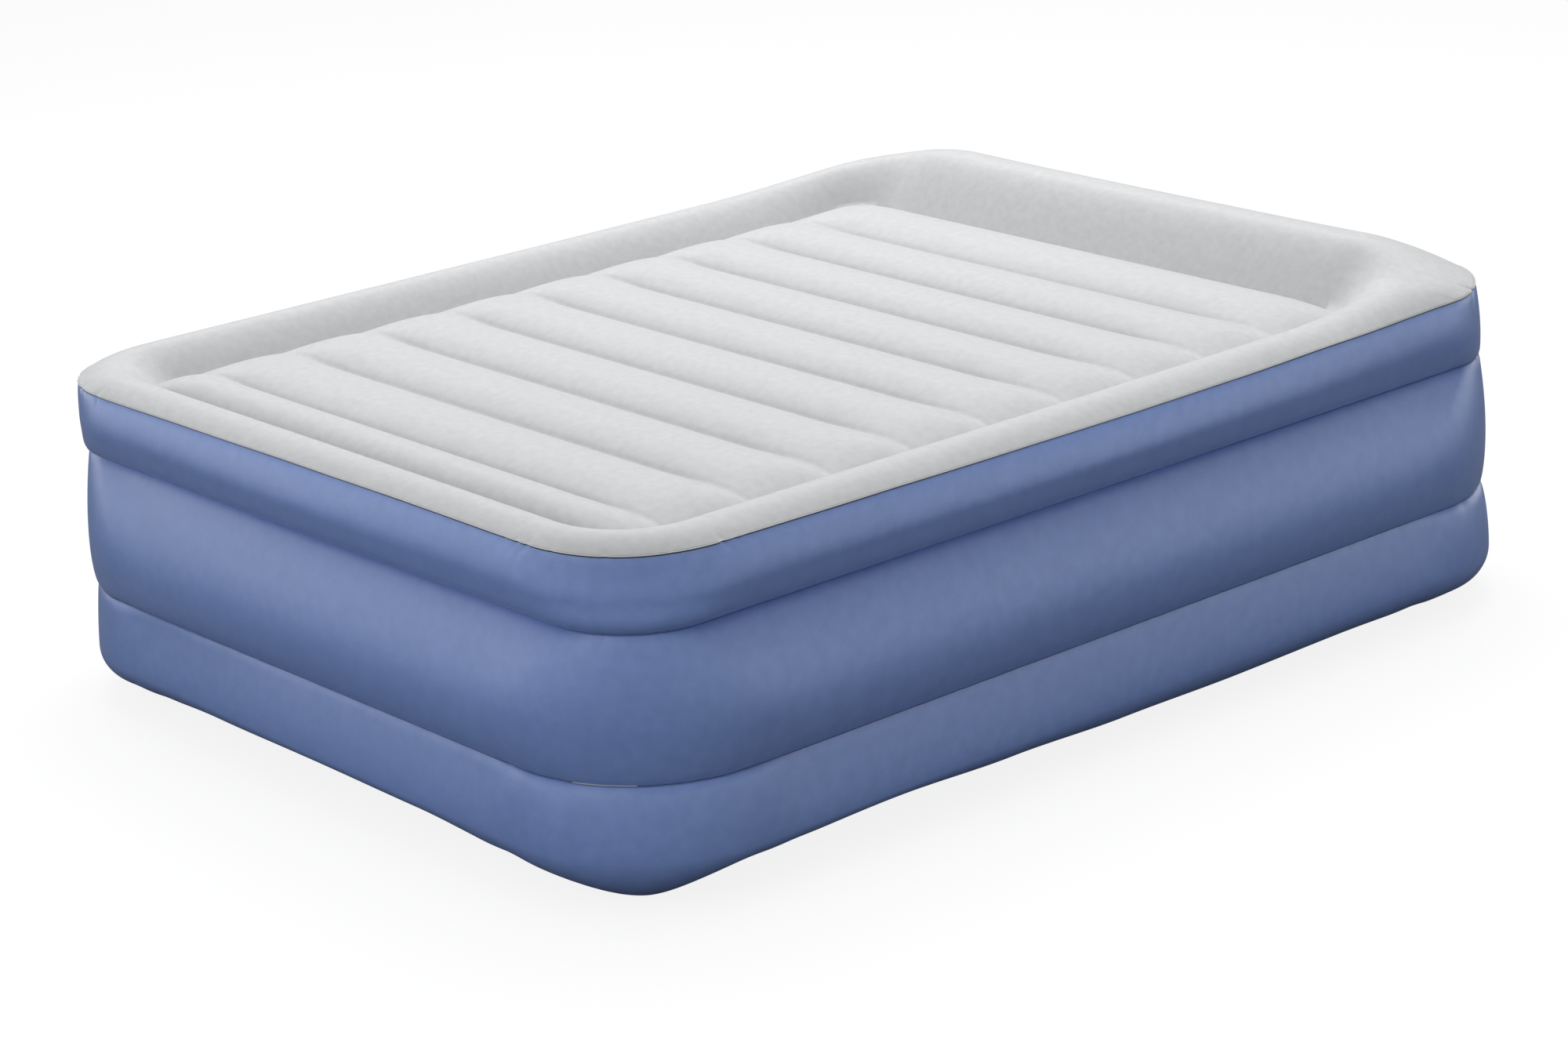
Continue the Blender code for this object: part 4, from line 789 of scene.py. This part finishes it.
# %% Mesh the top sheet
LAST_LOOP = 0.985              # share of the way to the crease that the loops cover
LOOP_POWER = 1.15              # loops crowd to the rim, and columns to the side creases
BOLSTER_WIDTH = 0.14           # about, from rim to crease
RIM_DENT_REACH = 0.010         # a pucker of the rim dies out over this width of top
RIM_DENT_SINK, RIM_DENT_DRAW = 0.8, 0.5   # how much of it goes down, and inwards


def bolster_rows(loops=26):
    """Loops from the rim in to the crease."""
    crease = outline(BED_HALF_WIDTH, BED_FOOT_Y, BED_HEAD_Y, BED_RADIUS)
    rows = []
    for k in range(loops + 1):
        share = (k / loops) ** LOOP_POWER * LAST_LOOP
        xy = RIM_XY + (crease - RIM_XY) * share
        z = RIM_Z + bolster_height(share, xy[:, 0], xy[:, 1])
        dent = PUCKER["rim"] * math.exp(-(share * BOLSTER_WIDTH) / RIM_DENT_REACH)
        draw, sink = (RIM_DENT_DRAW, RIM_DENT_SINK) if k else (1.0, 0.0)
        xy = xy - OUTWARD * (dent * draw + RIM_PULL * (1 - share) ** 2)[:, None]
        z = z + RIM_LIFT * (1 - share) ** 1.5
        rows.append(np.column_stack([xy, z - dent * sink]))
    return np.array(rows)


def bed_half_width(y):
    """Half width of the channelled bed at Y, less at its rounded corners."""
    overlap = max(BED_FOOT_Y + BED_RADIUS - y, y - (BED_HEAD_Y - BED_RADIUS), 0.0)
    return BED_HALF_WIDTH - BED_RADIUS + math.sqrt(max(0.0, BED_RADIUS ** 2 - overlap ** 2))


def bed_rows(across=97, per_channel=14):
    """Straight rows over the channels, from foot to head."""
    reach = np.linspace(-1, 1, across)
    reach = np.sign(reach) * (1 - (1 - np.abs(reach)) ** LOOP_POWER)
    rows = []
    for low, high in zip(LINES, LINES[1:]):
        for k in range(per_channel):
            y = low + (high - low) * crowded(k, per_channel, 0.6)
            x = reach * bed_half_width(y)
            rows.append(np.column_stack([x, np.full(across, y),
                                         RIM_Z + bed_height(x, y, low, high)]))
    y = LINES[-1]
    x = reach * bed_half_width(y)
    rows.append(np.column_stack([x, np.full(across, y), RIM_Z + bed_height(x, y, LINES[-2], y)]))
    return np.array(rows)


def polar(points):
    """Angle of each point, seen from the middle of the bed."""
    middle = (BED_HEAD_Y + BED_FOOT_Y) / 2
    return np.arctan2((points[:, 1] - middle) / RIM_HEAD, points[:, 0] / RIM_HALF_X)


def zipper(points, outer, inner):
    """Triangles between two closed loops of point numbers."""
    faces = []
    turn = []
    for loop in (outer, inner):
        angle = polar(points[loop])
        start = int(np.argmin(angle))
        turn.append((np.roll(loop, -start), np.append(np.roll(angle, -start),
                                                      angle[start] + 2 * math.pi)))
    (a, angle_a), (b, angle_b) = turn
    i = j = 0
    while i < len(a) or j < len(b):
        here, there = a[i % len(a)], b[j % len(b)]
        if j == len(b) or (i < len(a) and angle_a[i + 1] <= angle_b[j + 1]):
            faces.append((here, a[(i + 1) % len(a)], there))
            i += 1
        else:
            faces.append((here, b[(j + 1) % len(b)], there))
            j += 1
    return faces


def build_top():
    ring = bolster_rows()
    bed = bed_rows()
    loops, columns = ring.shape[:2]
    rows, across = bed.shape[:2]
    points = np.concatenate([ring.reshape(-1, 3), bed.reshape(-1, 3)])
    faces = [tuple(f) for f in grid_faces(loops, columns, True)]
    start = loops * columns
    faces += [tuple(f + start) for f in grid_faces(rows, across, False)]
    index = np.arange(rows * across).reshape(rows, across) + start
    border = np.concatenate([index[0], index[1:, -1], index[-1, -2::-1], index[-2:0:-1, 0]])
    faces += zipper(points, np.arange((loops - 1) * columns, loops * columns), border)
    top = add_piece("flocked_top", points, faces, FLOCK)
    give_thickness(top)
    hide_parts("top_sheet")
    return top


flocked_top = build_top()
print("flocked top faces:", len(flocked_top.data.polygons))

# %% [markdown]
# ## The underside
# The base is a plain sheet, flat on the floor, with its edge lifted to meet the
# lower tier. The lengthwise beams inside leave faint lines in it, so the sheet
# isn't a dead flat plane when the bed is turned over.

# %% Build the base sheet
BASE_BEAMS = [(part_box(n)[0][0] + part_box(n)[1][0]) / 2 for n in frame["nodes"]
              if n.startswith("lower_beam_")]
BASE_LOOPS = 24
BEAM_LINE, BEAM_LINE_WIDTH = 0.0022, 0.012   # how high a beam lifts the base, how wide
LIFTED_EDGE = 0.12             # the outer share of the base that follows the lifted edge


def build_base():
    loops = []
    for k in range(BASE_LOOPS):
        share = k / BASE_LOOPS
        half_x, half_y, radius = FLOOR_OUTLINE
        xy = outline(half_x, -half_y, half_y, radius) * (1 - share)
        lift = np.zeros(len(xy))
        for x in BASE_BEAMS:
            lift += BEAM_LINE * np.exp(-((xy[:, 0] - x) / BEAM_LINE_WIDTH) ** 2)
        inside = smoothstep(0.0, LIFTED_EDGE, share)
        lift = lift * inside + UNDER_LIFT * (1 - inside)
        loops.append(np.column_stack([xy, FLOOR_LOW.z + lift]))
    rows = np.array(loops)
    points = np.concatenate([rows.reshape(-1, 3), [[0.0, 0.0, FLOOR_LOW.z]]])
    levels, columns = rows.shape[:2]
    faces = [tuple(reversed(f)) for f in grid_faces(levels, columns, True)]
    last = (levels - 1) * columns
    for i in range(columns):
        faces.append((last + (i + 1) % columns, last + i, levels * columns))
    base = add_piece("base_sheet", points, faces, BLUE)
    give_thickness(base)
    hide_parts("bottom_sheet")


build_base()
print("lines in the base:", len(BASE_BEAMS))

# %% [markdown]
# ## The welds
# Where two sheets are welded, a narrow bead of fused film shows. At the rim it
# is a thin pale edge of the grey top with a dark bead under it, a painted shadow,
# and in the two girth grooves a fine glossy line of the blue film. At one corner a
# short pale bead on the lower weld is a painted highlight. Each bead is a small
# flat section swept along the same stations as the walls, so it follows every pucker.

# %% Sweep the weld beads
BEAD_SINK = 0.0010             # a bead starts this far inside its wall
SHADOW_LINE_DROP = 0.0019
GLINT_STATIONS = slice(18, 38)  # of the front corner
GLINT_RISE, GLINT_SINK = 0.0016, 0.0004


def add_bead(name, path, outward, width, height, material, closed=True):
    """A small bead with a flattened section, all round the bed or along a stretch."""
    corners = ((0.0, -height / 2), (width, -height / 4), (width, height / 4), (0.0, height / 2))
    points = np.concatenate([np.column_stack([path[:, :2] + outward * out, path[:, 2] + up])
                             for out, up in corners])
    columns = len(path)
    faces = []
    for level in range(4):
        following = (level + 1) % 4
        for i in range(columns if closed else columns - 1):
            j = (i + 1) % columns
            faces.append((level * columns + i, level * columns + j,
                          following * columns + j, following * columns + i))
    if not closed:
        faces.append((3 * columns, 2 * columns, columns, 0))
        last = columns - 1
        faces.append((last, columns + last, 2 * columns + last, 3 * columns + last))
    return add_piece(name, points, faces, material)


rim_path = upper_rows[-1].copy()
rim_path[:, :2] -= OUTWARD * BEAD_SINK
add_bead("rim_weld", rim_path, OUTWARD, 0.0030, 0.0018, PALE_WELD)
# The dark bead just under the rim weld is a painted shadow.
shadow_line_path = rim_path.copy()
shadow_line_path[:, 2] -= SHADOW_LINE_DROP
add_bead("rim_painted_shadow", shadow_line_path, OUTWARD, 0.0022, 0.0016, PAINTED_SHADOW)
for label, path in (("upper_girth_weld", upper_rows[0]), ("lower_girth_weld", middle_rows[0])):
    line = path.copy()
    line[:, 2] -= WELD_HALF
    line[:, :2] -= OUTWARD * BEAD_SINK
    add_bead(label, line, OUTWARD, 0.0028, 0.0011, WELD)
# The short pale bead on the lower weld at the front corner is a painted highlight.
front_corner = np.where((QUARTER == 3) & (ALONG < 0))[0][GLINT_STATIONS]
glint_path = middle_rows[0][front_corner].copy()
glint_path[:, 2] += GLINT_RISE
glint_path[:, :2] -= OUTWARD[front_corner] * GLINT_SINK
add_bead("corner_painted_glint", glint_path, OUTWARD[front_corner], 0.0028, 0.0026, PALE_WELD,
         closed=False)
print("beads made, tape stations:", len(glint_path))

# %% [markdown]
# ## The pump and the inner parts
# The pump's mouldings are already right in the working model. They get their
# finishes here, and those that face the user get a small Bevel, because no
# moulded edge is knife sharp.

# %% Give the carried parts their finishes
FINISH_OF_SLOT = {"flocked_grey": FLOCK, "blue_film": BLUE, "inner_film": INNER,
                  "dark_plastic": DARK, "grey_plastic": GREY, "steel": STEEL,
                  "bronze": BRONZE, "seal_rubber": RUBBER}
SLOT_OF_NODE = {part["node"]: part["material_slot"] for part in frame["record"]["subparts"]}
SOFTENED = ("face_plate", "mode_dial", "power_rocker", "switch_body", "cord_door")
EDGE_WIDTH, EDGE_SEGMENTS = 0.0005, 2
SHARP_ANGLE = math.radians(50)
for node, thing in frame["nodes"].items():
    thing.data.materials.clear()
    thing.data.materials.append(FINISH_OF_SLOT[SLOT_OF_NODE[node]])
    if node in SOFTENED:
        rounding = thing.modifiers.new("edge", "BEVEL")
        rounding.width = EDGE_WIDTH
        rounding.segments = EDGE_SEGMENTS
        rounding.limit_method = "ANGLE"
        rounding.angle_limit = SHARP_ANGLE
print("nodes finished:", len(SLOT_OF_NODE))

# %% [markdown]
# ## The valve's spring
# The spring is the one piece of the pump that changes shape: it shortens as the
# valve opens. Here its coil is only copied into a piece of its own, in place, and
# the moulded coil is hidden; the copy is not tied to a body and keeps its length.

# %% Copy the spring's coil


def build_spring():
    """The valve's coil, copied in place of the moulded one, which is hidden."""
    moulded = frame["nodes"]["valve_spring"]
    coil = bpy.data.objects.new("valve_coil", moulded.data.copy())
    coil.matrix_world = moulded.matrix_world.copy()
    bpy.context.collection.objects.link(coil)
    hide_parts("valve_spring")
    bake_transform(coil)


build_spring()
print("spring made")

# %% [markdown]
# ## Camera
# The view looks down on the front corner at a little over eighteen degrees, from
# a little over six metres, with a long lens. The slight roll is the picture's own.

# %% Place the camera
CAMERA_AT = Vector((4.528, -3.998, 2.218))
CAMERA_YAW, CAMERA_PITCH, CAMERA_ROLL = 0.8519, 0.3238, -0.0397
CAMERA_LENS = 88.68


def place_camera():
    """Point the camera by yaw and pitch, then roll it about its own view."""
    forward = Vector((-math.sin(CAMERA_YAW) * math.cos(CAMERA_PITCH),
                      math.cos(CAMERA_YAW) * math.cos(CAMERA_PITCH), -math.sin(CAMERA_PITCH)))
    level = Vector((math.cos(CAMERA_YAW), math.sin(CAMERA_YAW), 0))
    upright = level.cross(forward)
    right = math.cos(CAMERA_ROLL) * level + math.sin(CAMERA_ROLL) * upright
    up = -math.sin(CAMERA_ROLL) * level + math.cos(CAMERA_ROLL) * upright
    data = bpy.data.cameras.new("camera")
    data.lens = CAMERA_LENS
    data.sensor_width = 36
    data.clip_end = 60
    camera = bpy.data.objects.new("camera", data)
    turn = Matrix((right, up, -forward)).transposed().to_4x4()
    camera.matrix_world = Matrix.Translation(CAMERA_AT) @ turn
    bpy.context.collection.objects.link(camera)
    bpy.context.scene.camera = camera


place_camera()
print("camera distance:", round(CAMERA_AT.length, 2))

# %% [markdown]
# ## Floor, light and background
# A wide pale floor catches a soft shadow; seen by the camera it also glows, so
# that it comes out white like the background. The light is plain: an even sky, one
# large lamp overhead and a weak one off the foot side. The camera sees the sky
# pure white. Glossy reflections see it bright near the horizon and dimmer above,
# which puts the satin band along each tier where the photo has it.

# %% Light the scene
HORIZON, OVERHEAD = 0.04, 0.28     # heights between which the gloss light changes
FLOOR_TONE, FLOOR_GLOW = 0.18, 0.86
FLOOR_REACH, FLOOR_DROP = 30.0, 0.0005


def world_light(strength, gloss_low, gloss_high):
    """A white room: even for diffuse light, brighter low down where gloss sees it."""
    world = bpy.data.worlds.new("studio")
    bpy.context.scene.world = world
    world.use_nodes = True
    nodes, links = world.node_tree.nodes, world.node_tree.links
    nodes.clear()
    out = nodes.new("ShaderNodeOutputWorld")
    path = nodes.new("ShaderNodeLightPath")
    place = nodes.new("ShaderNodeTexCoord")
    split = nodes.new("ShaderNodeSeparateXYZ")
    wall = nodes.new("ShaderNodeMapRange")
    wall.interpolation_type = "SMOOTHSTEP"
    wall.inputs["From Min"].default_value = HORIZON
    wall.inputs["From Max"].default_value = OVERHEAD
    wall.inputs["To Min"].default_value = gloss_low
    wall.inputs["To Max"].default_value = gloss_high
    links.new(place.outputs["Generated"], split.inputs["Vector"])
    links.new(split.outputs["Z"], wall.inputs["Value"])
    lights = []
    for value in (strength, 1.0, 1.0):
        light = nodes.new("ShaderNodeBackground")
        light.inputs["Color"].default_value = (1, 1, 1, 1)
        light.inputs["Strength"].default_value = value
        lights.append(light)
    links.new(wall.outputs["Result"], lights[1].inputs["Strength"])
    last = lights[0]
    for light, ray in ((lights[1], "Is Glossy Ray"), (lights[2], "Is Transmission Ray"),
                       (lights[2], "Is Camera Ray")):
        mixer = nodes.new("ShaderNodeMixShader")
        links.new(path.outputs[ray], mixer.inputs["Fac"])
        links.new(last.outputs[0], mixer.inputs[1])
        links.new(light.outputs["Background"], mixer.inputs[2])
        last = mixer
    links.new(last.outputs["Shader"], out.inputs["Surface"])


def floor_material():
    mat = bpy.data.materials.new("pale_floor")
    mat.use_nodes = True
    nodes, links = mat.node_tree.nodes, mat.node_tree.links
    nodes.clear()
    out = nodes.new("ShaderNodeOutputMaterial")
    diffuse = nodes.new("ShaderNodeBsdfDiffuse")
    diffuse.inputs["Color"].default_value = (FLOOR_TONE, FLOOR_TONE, FLOOR_TONE, 1)
    glow = nodes.new("ShaderNodeEmission")
    glow.inputs["Color"].default_value = (1, 1, 1, 1)
    path = nodes.new("ShaderNodeLightPath")
    amount = nodes.new("ShaderNodeMath")
    amount.operation = "MULTIPLY"
    amount.inputs[1].default_value = FLOOR_GLOW
    total = nodes.new("ShaderNodeAddShader")
    links.new(path.outputs["Is Camera Ray"], amount.inputs[0])
    links.new(amount.outputs["Value"], glow.inputs["Strength"])
    links.new(diffuse.outputs["BSDF"], total.inputs[0])
    links.new(glow.outputs["Emission"], total.inputs[1])
    links.new(total.outputs["Shader"], out.inputs["Surface"])
    return mat


def add_floor():
    mesh = bpy.data.meshes.new("floor")
    signs = ((-1, -1), (1, -1), (1, 1), (-1, 1))
    corners = [(FLOOR_REACH * x, FLOOR_REACH * y, -FLOOR_DROP) for x, y in signs]
    mesh.from_pydata(corners, [], [(0, 1, 2, 3)])
    mesh.materials.append(floor_material())
    ground = bpy.data.objects.new("floor", mesh)
    bpy.context.collection.objects.link(ground)


def add_lamp(name, place, target, size, power):
    """A soft disc lamp, out of sight of the camera."""
    data = bpy.data.lights.new(name, "AREA")
    data.shape = "DISK"
    data.size = size
    data.energy = power
    lamp = bpy.data.objects.new(name, data)
    aim = (Vector(target) - Vector(place)).to_track_quat("-Z", "Y")
    lamp.matrix_world = Matrix.Translation(place) @ aim.to_matrix().to_4x4()
    lamp.visible_camera = False
    bpy.context.collection.objects.link(lamp)


world_light(0.48, 3.8, 0.7)
add_floor()
add_lamp("overhead", (-1.1, 1.0, 4.2), (-0.3, 0.3, 0.4), 4.6, 150)
add_lamp("front", (0.8, -4.6, 2.2), (0, 0, 0.3), 2.0, 21)
bpy.context.scene.view_settings.view_transform = "Standard"
print("lamps:", len(bpy.data.lights))
